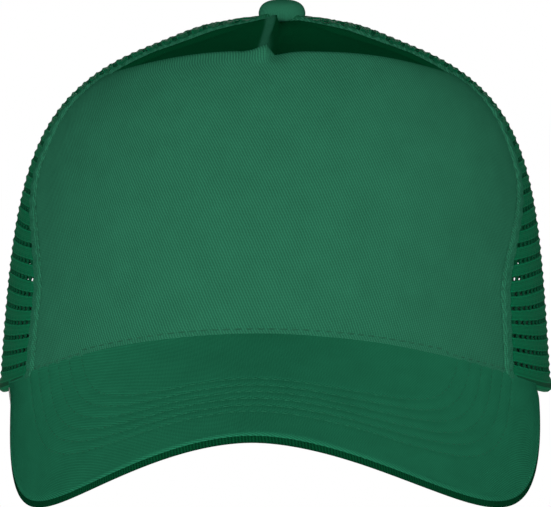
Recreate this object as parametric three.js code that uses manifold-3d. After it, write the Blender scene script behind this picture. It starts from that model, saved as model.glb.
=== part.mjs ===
// Trucker mesh cap: one-piece twill front, mesh sides and back, bent brim and snap straps.
// Millimetres, +Z up. The wearer looks along -Y, and the origin is the centre of the head opening.

import * as THREE from 'three';
import { mergeVertices } from 'three/addons/utils/BufferGeometryUtils.js';
import Module from 'manifold-3d';

const wasm = await Module();
wasm.setup();

const degrees = THREE.MathUtils.degToRad;

// ---- driving dimensions -------------------------------------------------------------------

const HALF_WIDTH = 89.2; // crown, outside, at the rim
const HALF_LENGTH = 102; // crown, outside, at the rim
const TOP = 121; // apex of the crown under the button
const PLAN_POWER = 2.2; // superellipse exponent of the head opening
const LEAN = 2.1; // sideways shift of the apex
const SKEW = -6.6; // sideways shift of the low front, where the brim arch peaks
const SKEW_HEIGHT = 95; // height at which that shift has faded out
const FRONT_RISE = 23.3; // height of the brim seam at the centre of the front
const BREAK_DEPTH = 64; // distance ahead of the apex where the front panel folds over
const BREAK_HEIGHT = 110.5;
const BREAK_T = 0.62; // profile parameter of that fold
const TOP_T = 0.982; // profile parameter where the panels stop, round the button post
const FULLNESS = 1.6; // how far the crown stands up in a ring round the button
const FULL_T = 0.89; // profile parameter of that ring
const FULL_SPAN = 0.06;

const FRONT_SEAM_LOW = degrees(57); // front seam angle below the temple
const FRONT_SEAM_HIGH = degrees(71); // and above it
const FRONT_SEAM_RETURN = degrees(9); // how far it turns forward again by the button
const SIDE_SEAM = degrees(125); // seam between the side and rear mesh panels
const SEAM_GAP = degrees(0.2);

const CLEAR = 0.3; // gap between neighbouring layers
const PANEL_THICK = 0.8;
const TAPE_THICK = 0.6;
const TAPE_HALF_WIDTH = 7;
const BAND_THICK = 1.5;
const BAND_DEPTH = 4.5; // outer face of the sweatband, below the crown surface
const BAND_HEIGHT = 30;
const BAND_FROM_RIM = 0.6;

const BRIM_LENGTH = 66; // from the seam to the outer edge at the centre
const BRIM_SLOPE = degrees(18.1); // droop of the centre line
const BRIM_END = degrees(68.6); // crown angle where the brim seam ends
const BRIM_HALF_WIDTH = 83.2;
const BRIM_DROP = 57.4; // how far the arch has dropped at the half width
const BRIM_DROP_POWER = 1.92;
const BRIM_SAG = 2.2; // how far the outer edge hangs below that slope and arch
const BRIM_SIDE_POWER = 2.5; // exponents of the outer edge in plan
const BRIM_FRONT_POWER = 2.2;
const BRIM_END_BLEND = 6.4; // how late the outer edge turns up to the end of the seam
const BRIM_USED = 0.97; // share of the seam angle that the pieces cover
const COVER_THICK = 0.6;
const BOARD_THICK = 1.1;
const BOARD_GAP = 0.45; // between the board and each cover

const OPENING_HALF = 47; // rear opening, at the rim
const OPENING_HEIGHT = 50;
const ARCH_POWER = 2.6; // superellipse exponent of the opening's edge
const BINDING_REACH = 6; // how far its legs reach from the edge of the opening
const BINDING_FOLD = -0.8; // the fold's place, inside the opening
const BINDING_OUTER = 0.6; // its outer and inner faces, from the crown surface
const BINDING_INNER = -1.8;
const BINDING_THICK = 0.5;
const TAPE_DEPTH = 2.5; // outer face of the seam tapes, below the crown surface
const LABEL_THICK = 0.4;

const STRAP_RADIUS = 91; // the straps bend round a vertical axis at x = 0
const STRAP_CENTRE_Y = 11.5;
const STRAP_THICK = 1.2;
const STRAP_HALF_HEIGHT = 9;
const STRAP_MID_Z = 10.5;
const STRAP_DEPTH = 2.7; // outer face of the inner strap, below the crown surface
const HINGE_ARC = 44.2; // arc length from the centre back to where a strap starts to bend
const HINGE_GAP = 0.8;
const TAB_END_ARC = 58;
const STRAP_TIP_ARC = 25.5; // how far a strap reaches past the centre back
const SNAP_PITCH = 9.5;
const SNAP_COUNT = 7;
const FIRST_SNAP_ARC = 2 * SNAP_PITCH; // the snap nearest the tip, past the centre back
const HOLE_RADIUS = 2.8;
const STEM_RADIUS = 1.6;
const STUD_RADIUS = 2;
const STEM_HEIGHT = 1.9;
const STUD_HEIGHT = 0.5;

const BUTTON_TILT = degrees(6);
const BUTTON_LIFT = 0.5; // height of the button above the apex, where the cloth bunches under it

// ---- materials ----------------------------------------------------------------------------

const cloth = (colour) => new THREE.MeshStandardMaterial({ color: colour, roughness: 0.9 });
const TWILL = cloth(0x2b6b51);
const NET = cloth(0x1c5a3f);
const BRIM_TWILL = cloth(0x1d5d43);
const TAPE = cloth(0x245f47);
const LINING = cloth(0xd8d8d2);
const BAND = cloth(0x1f5b42);
const PLASTIC = new THREE.MeshStandardMaterial({ color: 0x1a5138, roughness: 0.45 });
const BOARD = new THREE.MeshStandardMaterial({ color: 0xe4e4de, roughness: 0.6 });
const METAL = new THREE.MeshStandardMaterial({ color: 0xb9bcbf, roughness: 0.4, metalness: 1 });
const LABEL = cloth(0xf2f2ee);

// ---- closed meshes ------------------------------------------------------------------------

function signedVolume(geometry) {
  const position = geometry.attributes.position;
  const index = geometry.index.array;
  const corner = (i) => new THREE.Vector3().fromBufferAttribute(position, index[i]);
  let sum = 0;
  for (let i = 0; i < index.length; i += 3) {
    sum += corner(i).dot(corner(i + 1).cross(corner(i + 2)));
  }
  return sum / 6;
}

// Merges shared corners, and turns the faces outward.
function closed(source) {
  source.deleteAttribute('normal');
  source.deleteAttribute('uv');
  const geometry = mergeVertices(source, 1e-5);
  if (signedVolume(geometry) < 0) {
    const index = geometry.index.array;
    for (let i = 0; i < index.length; i += 3) {
      [index[i], index[i + 1]] = [index[i + 1], index[i]];
    }
  }
  geometry.computeVertexNormals();
  return geometry;
}

// A sheet with two faces: place(i, j, outside) gives the point of column i and row j on one face.
function sheet(columns, rows, place) {
  const box = new THREE.BoxGeometry(columns, rows, 1, columns, rows, 1);
  const position = box.attributes.position;
  for (let n = 0; n < position.count; n++) {
    const i = Math.round(position.getX(n) + columns / 2);
    const j = Math.round(position.getY(n) + rows / 2);
    const point = place(i, j, position.getZ(n) > 0);
    position.setXYZ(n, point.x, point.y, point.z);
  }
  return closed(box);
}

// A turned piece from [radius, height] points that run from the axis out and back to the axis.
function turned(profile, segments = 20) {
  const points = profile.map(([radius, height]) => new THREE.Vector2(radius, height));
  return closed(new THREE.LatheGeometry(points, segments).rotateX(Math.PI / 2));
}

function toSolid(geometry) {
  const vertProperties = new Float32Array(geometry.attributes.position.array);
  const triVerts = new Uint32Array(geometry.index.array);
  return new wasm.Manifold(new wasm.Mesh({ numProp: 3, vertProperties, triVerts }));
}

function fromSolid(solid) {
  const mesh = solid.getMesh();
  const geometry = new THREE.BufferGeometry();
  geometry.setAttribute('position', new THREE.BufferAttribute(mesh.vertProperties, 3));
  geometry.setIndex(new THREE.BufferAttribute(mesh.triVerts, 1));
  return closed(geometry);
}

// ---- crown surface ------------------------------------------------------------------------

const power = (value, exponent) => Math.sign(value) * Math.abs(value) ** exponent;
const mix = (from, to, share) => from + (to - from) * share;
const smooth = (value) => {
  const v = THREE.MathUtils.clamp(value, 0, 1);
  return v * v * (3 - 2 * v);
};

function profileCurve(...points) {
  return new THREE.CubicBezierCurve(...points.map(([depth, z]) => new THREE.Vector2(depth, z)));
}

const SIDE = profileCurve([HALF_WIDTH, 0], [83.5, 82.5], [83.4, 109.5], [0, TOP]);
const BACK = profileCurve([HALF_LENGTH, 0], [104, 60], [70, TOP], [0, TOP]);
const FRONT_WALL = profileCurve(
  [HALF_LENGTH, FRONT_RISE], [99, 55], [82, 92], [BREAK_DEPTH, BREAK_HEIGHT],
);
const FRONT_TOP = profileCurve(
  [BREAK_DEPTH, BREAK_HEIGHT], [50, 113.5], [28, 117], [0, TOP],
);

function frontProfile(t) {
  if (t < BREAK_T) return FRONT_WALL.getPoint(t / BREAK_T);
  return FRONT_TOP.getPoint((t - BREAK_T) / (1 - BREAK_T));
}

// a is the angle round the head, 0 at the front and positive towards +X; t runs from rim to apex.
function crownPoint(a, t) {
  const across = power(Math.sin(a), 2 / PLAN_POWER);
  const along = -power(Math.cos(a), 2 / PLAN_POWER);
  const side = SIDE.getPoint(t);
  const isFront = Math.cos(a) > 0;
  const middle = isFront ? frontProfile(t) : BACK.getPoint(t);
  const share = Math.cos(a) ** 2;
  const ring = FULLNESS * Math.exp(-(((t - FULL_T) / FULL_SPAN) ** 2));
  const z = middle.y * share + side.y * (1 - share) + ring;
  const skew = isFront ? SKEW * (1 - across ** 2) * (1 - smooth(z / SKEW_HEIGHT)) : 0;
  const x = side.x * across + skew + LEAN * (z / TOP) ** 2;
  return new THREE.Vector3(x, middle.x * along, z);
}

// The point at a distance outside the crown surface, or inside it where offset is negative.
function crownOffset(a, t, offset) {
  const step = 1e-3;
  const round = crownPoint(a + step, t).sub(crownPoint(a - step, t));
  const up = crownPoint(a, Math.min(t + step, 1)).sub(crownPoint(a, Math.max(t - step, 0)));
  return crownPoint(a, t).addScaledVector(round.cross(up).normalize(), offset);
}

// The profile parameter at which the crown reaches a height.
function tAtHeight(a, z) {
  let low = 0;
  let high = TOP_T;
  for (let n = 0; n < 30; n++) {
    const middle = (low + high) / 2;
    if (crownPoint(a, middle).z < z) low = middle;
    else high = middle;
  }
  return low;
}

// The angle of a point at the back of the rim, from its distance off the centre line.
const backAngle = (x) => Math.PI - Math.asin(power(x / HALF_WIDTH, PLAN_POWER / 2));

function frontSeam(t) {
  const high = mix(FRONT_SEAM_LOW, FRONT_SEAM_HIGH, smooth((t - 0.12) / 0.26));
  return high - FRONT_SEAM_RETURN * smooth((t - 0.6) / 0.4);
}

// ---- crown panels -------------------------------------------------------------------------

const WALL_ROWS = 8;
const CAP_ROWS = 5;
const ROWS = WALL_ROWS + CAP_ROWS;
const rowT = (j) => (j <= WALL_ROWS
  ? BREAK_T * j / WALL_ROWS
  : mix(BREAK_T, TOP_T, (j - WALL_ROWS) / CAP_ROWS));

function frontPanel() {
  const columns = 22;
  return sheet(columns, ROWS, (i, j, outside) => {
    const t = rowT(j);
    const a = (frontSeam(t) - SEAM_GAP) * (2 * i / columns - 1);
    return crownOffset(a, t, outside ? 0 : -PANEL_THICK);
  });
}

function frontBacking() {
  const columns = 18;
  const outer = -PANEL_THICK - CLEAR;
  const lowT = 0.03;
  const highT = 0.9;
  const edge = degrees(4);
  return sheet(columns, ROWS, (i, j, outside) => {
    const t = THREE.MathUtils.clamp(rowT(j), lowT, mix(BREAK_T, highT, (j - WALL_ROWS) / CAP_ROWS));
    const a = (frontSeam(t) - edge) * (2 * i / columns - 1);
    return crownOffset(a, t, outside ? outer : outer - PANEL_THICK);
  });
}

const NET_OUTER = -0.2;
const NET_INNER = NET_OUTER - PANEL_THICK;

function sideMesh(side) {
  const columns = 8;
  return sheet(columns, ROWS, (i, j, outside) => {
    const t = rowT(j);
    const a = mix(frontSeam(t) + SEAM_GAP, SIDE_SEAM - SEAM_GAP, i / columns);
    return crownOffset(side * a, t, outside ? NET_OUTER : NET_INNER);
  });
}

// The rear opening's edge at the angle phi, which is 90 degrees at the rim and 0 at the top.
const ARCH_COLUMNS = 8;
const archX = (phi, reach = 0) => (OPENING_HALF + reach) * power(Math.sin(phi), 2 / ARCH_POWER);
const archZ = (phi, reach = 0) => (OPENING_HEIGHT + reach) * power(Math.cos(phi), 2 / ARCH_POWER);

function rearMesh(side) {
  const plainColumns = 3;
  const centreGap = 0.2;
  return sheet(plainColumns + ARCH_COLUMNS, ROWS, (i, j, outside) => {
    let a;
    let lowT = 0;
    if (i <= plainColumns) {
      a = mix(SIDE_SEAM + SEAM_GAP, backAngle(OPENING_HALF), i / plainColumns);
    } else {
      const phi = Math.PI / 2 * (1 - (i - plainColumns) / ARCH_COLUMNS);
      a = backAngle(Math.max(archX(phi), centreGap));
      lowT = tAtHeight(a, archZ(phi));
    }
    const t = mix(lowT, TOP_T, rowT(j) / TOP_T);
    return crownOffset(side * a, t, outside ? NET_OUTER : NET_INNER);
  });
}

// A flat strip sewn behind a seam; seam(t) gives the angle of its middle.
function seamTape(seam, side, lowT, highT) {
  const rows = 12;
  return sheet(2, rows, (i, j, outside) => {
    const t = mix(lowT, highT, j / rows);
    const centre = crownPoint(seam(t), t);
    const halfAngle = TAPE_HALF_WIDTH / Math.hypot(centre.x, centre.y);
    const a = seam(t) + halfAngle * (i - 1);
    return crownOffset(side * a, t, -TAPE_DEPTH - (outside ? 0 : TAPE_THICK));
  });
}

// Tape folded over the edge of the rear opening: a U-shaped strip that follows the arch.
function openingBinding() {
  const steps = 2 * ARCH_COLUMNS;
  const outside = [
    [BINDING_REACH, BINDING_OUTER], [BINDING_FOLD, BINDING_OUTER],
    [BINDING_FOLD, BINDING_INNER], [BINDING_REACH, BINDING_INNER],
  ];
  const inside = outside.map(([reach, depth]) => [
    reach > 0 ? reach : reach + BINDING_THICK,
    depth > 0 ? depth - BINDING_THICK : depth + BINDING_THICK,
  ]);
  return sheet(steps, 3, (i, j, isOutside) => {
    const phi = Math.PI / 2 * (i / ARCH_COLUMNS - 1);
    const [reach, depth] = (isOutside ? outside : inside)[j];
    const a = Math.sign(phi || 1) * backAngle(Math.abs(archX(phi, reach)));
    return crownOffset(a, tAtHeight(a, archZ(phi, reach)), depth);
  });
}

function sweatband() {
  const columns = 40;
  const rows = 2;
  const end = backAngle(OPENING_HALF + 2.5);
  return sheet(columns, rows, (i, j, outside) => {
    const a = end * (2 * i / columns - 1);
    const z = crownPoint(a, 0).z + BAND_FROM_RIM + BAND_HEIGHT * j / rows;
    return crownOffset(a, tAtHeight(a, z), outside ? -BAND_DEPTH : -BAND_DEPTH - BAND_THICK);
  });
}

function sizeLabel() {
  const columns = 3;
  const outer = -BAND_DEPTH - BAND_THICK - CLEAR;
  const [low, high] = [4, 26];
  return sheet(columns, 2, (i, j, outside) => {
    const a = degrees(mix(128, 138, i / columns));
    const z = mix(low, high, j / 2);
    return crownOffset(a, tAtHeight(a, z), outside ? outer : outer - LABEL_THICK);
  });
}

// ---- brim ---------------------------------------------------------------------------------

const BRIM_CORNER = crownPoint(BRIM_END, 0);

// The brim's middle surface: u runs from end to end, and k from the crown seam to the outer edge.
function brimPoint(u, k, lift) {
  const inner = crownOffset(BRIM_END * u, 0, 0.4);
  const ends = Math.abs(u) ** BRIM_END_BLEND;
  const across = power(Math.sin(u * Math.PI / 2), 0.9);
  const along = (1 - Math.abs(across) ** BRIM_SIDE_POWER) ** (1 / BRIM_FRONT_POWER);
  const width = mix(BRIM_HALF_WIDTH, BRIM_CORNER.x, ends) * across;
  const y = BRIM_CORNER.y - (HALF_LENGTH + BRIM_LENGTH + BRIM_CORNER.y) * along;
  const centreZ = FRONT_RISE - BRIM_SAG + (y + HALF_LENGTH) * Math.tan(BRIM_SLOPE);
  const share = width / BRIM_HALF_WIDTH;
  const z = mix(centreZ - BRIM_DROP * Math.abs(share) ** BRIM_DROP_POWER, BRIM_CORNER.z, ends);
  const outer = new THREE.Vector3(width + SKEW * (1 - share ** 2), y, z);
  return inner.lerp(outer, k).add(new THREE.Vector3(0, 0, lift));
}

// The share of the way out at a distance in from the outer edge.
function brimShare(u, inset) {
  return 1 - inset / brimPoint(u, 0, 0).distanceTo(brimPoint(u, 1, 0));
}

const BRIM_COLUMNS = 32;
const BRIM_ROWS = 6;
const brimU = (i) => BRIM_USED * Math.sin(Math.PI / 2 * (2 * i / BRIM_COLUMNS - 1));

// One cloth cover with its edge turned over the board: side is 1 for the top and -1 for below.
function brimCover(side) {
  const inner = side * (BOARD_THICK / 2 + BOARD_GAP);
  const outer = inner + side * COVER_THICK;
  const lipEnd = side * CLEAR / 2;
  return sheet(BRIM_COLUMNS, BRIM_ROWS + 1, (i, j, outside) => {
    const u = brimU(i);
    const edge = brimShare(u, outside ? 0 : COVER_THICK);
    if (j > BRIM_ROWS) return brimPoint(u, edge, lipEnd);
    return brimPoint(u, edge * j / BRIM_ROWS, outside ? outer : inner);
  });
}

function brimBoard() {
  const inset = 0.03;
  return sheet(BRIM_COLUMNS, BRIM_ROWS, (i, j, outside) => {
    const u = brimU(i);
    const k = THREE.MathUtils.clamp(j / BRIM_ROWS, inset, brimShare(u, COVER_THICK + CLEAR));
    return brimPoint(u, k, (outside ? 0.5 : -0.5) * BOARD_THICK);
  });
}

// ---- snap straps --------------------------------------------------------------------------

// A point on the straps' cylinder: arc is the distance from the centre back towards +X.
function strapPoint(arc, z, offset) {
  const angle = arc / STRAP_RADIUS;
  const radius = STRAP_RADIUS + offset;
  return new THREE.Vector3(radius * Math.sin(angle), STRAP_CENTRE_Y + radius * Math.cos(angle), z);
}

function strapTab(side) {
  return sheet(4, 1, (i, j, outside) => strapPoint(
    side * mix(HINGE_ARC + HINGE_GAP, TAB_END_ARC, i / 4),
    STRAP_MID_Z + STRAP_HALF_HEIGHT * (2 * j - 1),
    -STRAP_DEPTH - (outside ? 0 : STRAP_THICK),
  ));
}

// The free length of a strap, with a round tip. side is where it is sewn; lift brings it outward.
function strapBlade(side, lift) {
  const columns = 22;
  const length = HINGE_ARC + STRAP_TIP_ARC;
  const ramp = 9;
  return sheet(columns, 2, (i, j, outside) => {
    const fromHinge = length * Math.sin(Math.PI / 2 * i / columns);
    const toTip = length - fromHinge;
    const reach = Math.min(toTip / STRAP_HALF_HEIGHT, 1);
    const half = STRAP_HALF_HEIGHT * Math.max(Math.sqrt(1 - (1 - reach) ** 2), 0.25);
    return strapPoint(
      side * (HINGE_ARC - fromHinge),
      STRAP_MID_Z + half * (j - 1),
      -STRAP_DEPTH + lift * smooth(fromHinge / ramp) - (outside ? 0 : STRAP_THICK),
    );
  });
}

const snapArc = (side, n) => side * (n * SNAP_PITCH - FIRST_SNAP_ARC);

// A short radial cylinder whose foot is at an offset from the straps' cylinder.
function radialPin(arc, foot, height, radius) {
  const pin = new THREE.CylinderGeometry(radius, radius, height, 14);
  const middle = strapPoint(arc, STRAP_MID_Z, foot + height / 2);
  pin.rotateZ(-arc / STRAP_RADIUS).translate(middle.x, middle.y, middle.z);
  return toSolid(closed(pin));
}

const OUTER_LIFT = STRAP_THICK + CLEAR;

function holeStrap() {
  let strap = toSolid(strapBlade(1, OUTER_LIFT));
  for (let n = 0; n < SNAP_COUNT; n++) {
    strap = strap.subtract(radialPin(snapArc(1, n), -STRAP_DEPTH - 3, 8, HOLE_RADIUS));
  }
  return fromSolid(strap);
}

function studStrap() {
  let strap = toSolid(strapBlade(-1, 0));
  const foot = -STRAP_DEPTH - STRAP_THICK / 2;
  for (let n = 0; n < SNAP_COUNT; n++) {
    const arc = snapArc(-1, n);
    strap = strap.add(radialPin(arc, foot, STEM_HEIGHT + STRAP_THICK / 2 + 0.1, STEM_RADIUS));
    strap = strap.add(radialPin(arc, -STRAP_DEPTH + STEM_HEIGHT, STUD_HEIGHT, STUD_RADIUS));
  }
  return fromSolid(strap);
}

// ---- button -------------------------------------------------------------------------------

const BUTTON_COVER = [
  [0, 4.1], [3, 3.95], [5.4, 3.3], [6.9, 2], [7.5, 0.5], [7.4, -0.2],
  [6.8, -0.2], [6.9, 0.4], [6.3, 1.6], [4.9, 2.75], [2.8, 3.35], [0, 3.5],
];
const BUTTON_SHELL = [
  [0, 3.2], [2.7, 3.05], [4.7, 2.45], [6, 1.4], [6.5, 0.3], [6.4, -0.2],
  [5.8, -0.2], [5.9, 0.3], [5.4, 1.1], [4.3, 1.95], [2.5, 2.45], [0, 2.6],
];
const BUTTON_POST = [[0, 2.3], [1.6, 2.3], [1.6, -4], [2.8, -4], [2.8, -4.5], [0, -4.5]];
const BUTTON_WASHER = [[1.9, -3.1], [6.3, -3.1], [6.3, -3.7], [1.9, -3.7], [1.9, -3.1]];

// ---- assembly -----------------------------------------------------------------------------

const group = new THREE.Group();

function add(parent, name, geometry, material) {
  const mesh = new THREE.Mesh(geometry, material);
  mesh.name = name;
  parent.add(mesh);
}

add(group, 'front_panel', frontPanel(), TWILL);
add(group, 'front_backing', frontBacking(), LINING);
for (const [word, side] of [['left', 1], ['right', -1]]) {
  add(group, `side_mesh_${word}`, sideMesh(side), NET);
  add(group, `rear_mesh_${word}`, rearMesh(side), NET);
  add(group, `front_seam_tape_${word}`, seamTape(frontSeam, side, 0.03, 0.9), TAPE);
  add(group, `side_seam_tape_${word}`, seamTape(() => SIDE_SEAM, side, 0.02, 0.9), TAPE);
}
add(group, 'centre_back_tape', seamTape(() => Math.PI, 1, 0.38, 0.9), TAPE);
add(group, 'rear_opening_binding', openingBinding(), TAPE);
add(group, 'sweatband', sweatband(), BAND);
add(group, 'size_label', sizeLabel(), LABEL);

add(group, 'brim_top_cover', brimCover(1), BRIM_TWILL);
add(group, 'brim_board', brimBoard(), BOARD);
add(group, 'brim_under_cover', brimCover(-1), BRIM_TWILL);

add(group, 'hole_strap_tab', strapTab(1), PLASTIC);
add(group, 'hole_strap', holeStrap(), PLASTIC);
add(group, 'stud_strap_tab', strapTab(-1), PLASTIC);
add(group, 'stud_strap', studStrap(), PLASTIC);

const button = new THREE.Group();
button.position.copy(crownPoint(0, 1).add(new THREE.Vector3(0, 0, BUTTON_LIFT)));
button.rotation.x = BUTTON_TILT;
add(button, 'button_cover', turned(BUTTON_COVER), TWILL);
add(button, 'button_shell', turned(BUTTON_SHELL), METAL);
add(button, 'button_post', turned(BUTTON_POST, 14), METAL);
add(button, 'button_washer', turned(BUTTON_WASHER), METAL);
group.add(button);

export default group;
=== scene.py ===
"""Looks of the trucker mesh cap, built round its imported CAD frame.

Shapes are worked out in millimetres and turned into metres when a mesh is made.
The wearer looks along -Y, +Z is up, and the origin is the centre of the head opening.
"""

import math

import bmesh
import bpy
import numpy as np
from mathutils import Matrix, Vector


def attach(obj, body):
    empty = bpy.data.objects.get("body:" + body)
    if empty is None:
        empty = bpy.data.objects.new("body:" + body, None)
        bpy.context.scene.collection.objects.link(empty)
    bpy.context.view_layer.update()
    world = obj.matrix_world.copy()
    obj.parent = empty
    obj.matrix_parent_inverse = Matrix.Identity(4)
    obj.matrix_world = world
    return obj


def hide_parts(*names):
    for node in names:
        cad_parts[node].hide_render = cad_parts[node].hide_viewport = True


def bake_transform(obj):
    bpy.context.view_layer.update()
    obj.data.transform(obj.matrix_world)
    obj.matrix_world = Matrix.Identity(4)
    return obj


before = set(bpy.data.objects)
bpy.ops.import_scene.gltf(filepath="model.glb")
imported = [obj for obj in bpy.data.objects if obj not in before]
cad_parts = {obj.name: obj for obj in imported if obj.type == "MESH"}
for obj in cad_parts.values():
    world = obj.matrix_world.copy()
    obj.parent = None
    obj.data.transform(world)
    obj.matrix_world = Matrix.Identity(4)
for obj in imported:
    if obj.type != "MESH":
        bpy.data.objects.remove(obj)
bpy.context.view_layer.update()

MM = 0.001

# ---- driving dimensions, the same as the CAD part's ----------------------------------------

HALF_WIDTH = 89.2
HALF_LENGTH = 102
TOP = 121
PLAN_POWER = 2.2
LEAN = 2.1
SKEW = -6.6
SKEW_HEIGHT = 95
FRONT_RISE = 23.3
BREAK_DEPTH = 64
BREAK_HEIGHT = 110.5
BREAK_T = 0.62
TOP_T = 0.982
FULLNESS = 1.6
FULL_T = 0.89
FULL_SPAN = 0.06
VALLEY = 3.0  # how far the crown is drawn in along the front seam's top
VALLEY_SPAN = 0.16
FRONT_SEAM_LOW = math.radians(57)
FRONT_SEAM_HIGH = math.radians(71)
FRONT_SEAM_RETURN = math.radians(9)
SIDE_SEAM = math.radians(125)
PANEL_THICK = 0.8
OPENING_HALF = 47
OPENING_HEIGHT = 50
ARCH_POWER = 2.6

BRIM_LENGTH = 66
BRIM_SLOPE = math.radians(18.1)
BRIM_END = math.radians(68.6)
BRIM_HALF_WIDTH = 83.2
BRIM_DROP = 57.4
BRIM_DROP_POWER = 1.92
BRIM_SAG = 2.2
BRIM_SIDE_POWER = 2.5
BRIM_FRONT_POWER = 2.2
BRIM_END_BLEND = 6.4
BRIM_USED = 0.97

STRAP_RADIUS = 91
STRAP_CENTRE_Y = 11.5
STRAP_THICK = 1.2
STRAP_HALF_HEIGHT = 9
STRAP_MID_Z = 10.5
STRAP_DEPTH = 2.7
HINGE_ARC = 44.2
TAB_END_ARC = 58
STRAP_TIP_ARC = 25.5
SNAP_PITCH = 9.5
SNAP_COUNT = 7
FIRST_SNAP_ARC = 2 * SNAP_PITCH
HOLE_RADIUS = 2.8
OUTER_LIFT = 1.5
RAISE_LENGTH = 9  # of the slope by which the strap with holes gets over the other one
BLEND_HALF = 1.6  # half the length round each strap's hinge; make_strap works out the points at its two ends but does not use them

BUTTON_TILT = math.radians(6)
BUTTON_LIFT = 0.5

# ---- camera and studio -----------------------------------------------------------------------

CAMERA_DISTANCE = 1.4
CAMERA_ELEVATION = math.radians(3)
CAMERA_LENS = 282.2
AIM_HEIGHT = 0.0439
FLOOR_HEIGHT = -0.040


def look_at(obj, place, target):
    obj.location = place
    obj.rotation_mode = "QUATERNION"
    obj.rotation_quaternion = (Vector(target) - Vector(place)).to_track_quat("-Z", "Y")


def link(obj):
    bpy.context.scene.collection.objects.link(obj)
    return obj


def make_camera():
    data = bpy.data.cameras.new("camera")
    data.lens = CAMERA_LENS
    data.sensor_width = 36
    data.clip_end = 50
    camera = link(bpy.data.objects.new("camera", data))
    back = -CAMERA_DISTANCE * math.cos(CAMERA_ELEVATION)
    up = CAMERA_DISTANCE * math.sin(CAMERA_ELEVATION)
    look_at(camera, (0, back, AIM_HEIGHT + up), (0, 0, AIM_HEIGHT))
    bpy.context.scene.camera = camera


def area_light(name, azimuth, elevation, distance, size, power):
    """A soft box aimed at the middle of the crown; azimuth 0 is in front of the cap."""
    data = bpy.data.lights.new(name, "AREA")
    data.shape = "DISK"
    data.size = size
    data.energy = power
    a, e = math.radians(azimuth), math.radians(elevation)
    place = (
        distance * math.sin(a) * math.cos(e),
        -distance * math.cos(a) * math.cos(e),
        distance * math.sin(e) + 0.05,
    )
    look_at(link(bpy.data.objects.new(name, data)), place, (0, 0, 0.05))


# ---- formulas of the crown -------------------------------------------------------------------


def power(value, exponent):
    return np.sign(value) * np.abs(value) ** exponent


def mix(start, end, share):
    return start + (end - start) * share


def smooth(value):
    v = np.clip(value, 0, 1)
    return v * v * (3 - 2 * v)


def bump(value, width):
    """A smooth hill, 1 where value is 0."""
    return np.exp(-((np.asarray(value) / width) ** 2))


def bezier(points, t):
    p = np.array(points, float)
    t = np.asarray(t, float)[..., None]
    s = 1 - t
    return s**3 * p[0] + 3 * s * s * t * p[1] + 3 * s * t * t * p[2] + t**3 * p[3]


SIDE = ((HALF_WIDTH, 0), (83.5, 82.5), (83.4, 109.5), (0, TOP))
BACK = ((HALF_LENGTH, 0), (104, 60), (70, TOP), (0, TOP))
FRONT_WALL = ((HALF_LENGTH, FRONT_RISE), (99, 55), (82, 92), (BREAK_DEPTH, BREAK_HEIGHT))
FRONT_TOP = ((BREAK_DEPTH, BREAK_HEIGHT), (50, 113.5), (28, 117), (0, TOP))


def front_profile(t):
    wall = bezier(FRONT_WALL, np.minimum(t / BREAK_T, 1))
    top = bezier(FRONT_TOP, np.maximum((t - BREAK_T) / (1 - BREAK_T), 0))
    return np.where((t < BREAK_T)[..., None], wall, top)


def crown(a, t):
    """The crown's outer surface: a is the angle round the head, 0 in front, and t runs up."""
    a, t = np.broadcast_arrays(np.asarray(a, float), np.asarray(t, float))
    across = power(np.sin(a), 2 / PLAN_POWER)
    along = -power(np.cos(a), 2 / PLAN_POWER)
    side = bezier(SIDE, t)
    is_front = np.cos(a) > 0
    middle = np.where(is_front[..., None], front_profile(t), bezier(BACK, t))
    share = np.cos(a) ** 2
    ring = FULLNESS * bump(t - FULL_T, FULL_SPAN)
    drawn = smooth((t - 0.5) / 0.2) * (1 - smooth((t - 0.93) / 0.06))
    span = VALLEY_SPAN * (1 + 1.6 * smooth((t - 0.75) / 0.2))
    valley = VALLEY * drawn * bump((np.abs(a) - front_seam(t)) / span, 1)
    z = middle[..., 1] * share + side[..., 1] * (1 - share) + ring - valley
    skew = np.where(is_front, SKEW * (1 - across**2) * (1 - smooth(z / SKEW_HEIGHT)), 0)
    x = side[..., 0] * across + skew + LEAN * (z / TOP) ** 2
    return np.stack((x, middle[..., 0] * along, z), -1)


def unit(v):
    return v / np.maximum(np.linalg.norm(v, axis=-1, keepdims=True), 1e-9)


def crown_normal(a, t):
    a, t = np.broadcast_arrays(np.asarray(a, float), np.asarray(t, float))
    step = 1e-3
    around = crown(a + step, t) - crown(a - step, t)
    up = crown(a, np.minimum(t + step, 1)) - crown(a, np.maximum(t - step, 0))
    return unit(np.cross(around, up))


def crown_at(a, t, offset):
    return crown(a, t) + crown_normal(a, t) * np.asarray(offset, float)[..., None]


def t_at_height(a, z):
    a, z = np.broadcast_arrays(np.asarray(a, float), np.asarray(z, float))
    low, high = np.zeros(a.shape), np.full(a.shape, TOP_T)
    for _ in range(30):
        middle = (low + high) / 2
        below = crown(a, middle)[..., 2] < z
        low, high = np.where(below, middle, low), np.where(below, high, middle)
    return low


def back_angle(x):
    return math.pi - np.arcsin(power(np.asarray(x, float) / HALF_WIDTH, PLAN_POWER / 2))


def front_seam(t):
    high = mix(FRONT_SEAM_LOW, FRONT_SEAM_HIGH, smooth((t - 0.12) / 0.26))
    return high - FRONT_SEAM_RETURN * smooth((t - 0.6) / 0.4)


def side_seam(t):
    return np.full_like(t, SIDE_SEAM)


def back_seam(t):
    return np.full_like(t, math.pi)


# ---- meshes ----------------------------------------------------------------------------------


def turn_outward(mesh):
    work = bmesh.new()
    work.from_mesh(mesh)
    bmesh.ops.recalc_face_normals(work, faces=work.faces)
    work.to_mesh(mesh)
    work.free()


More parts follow.
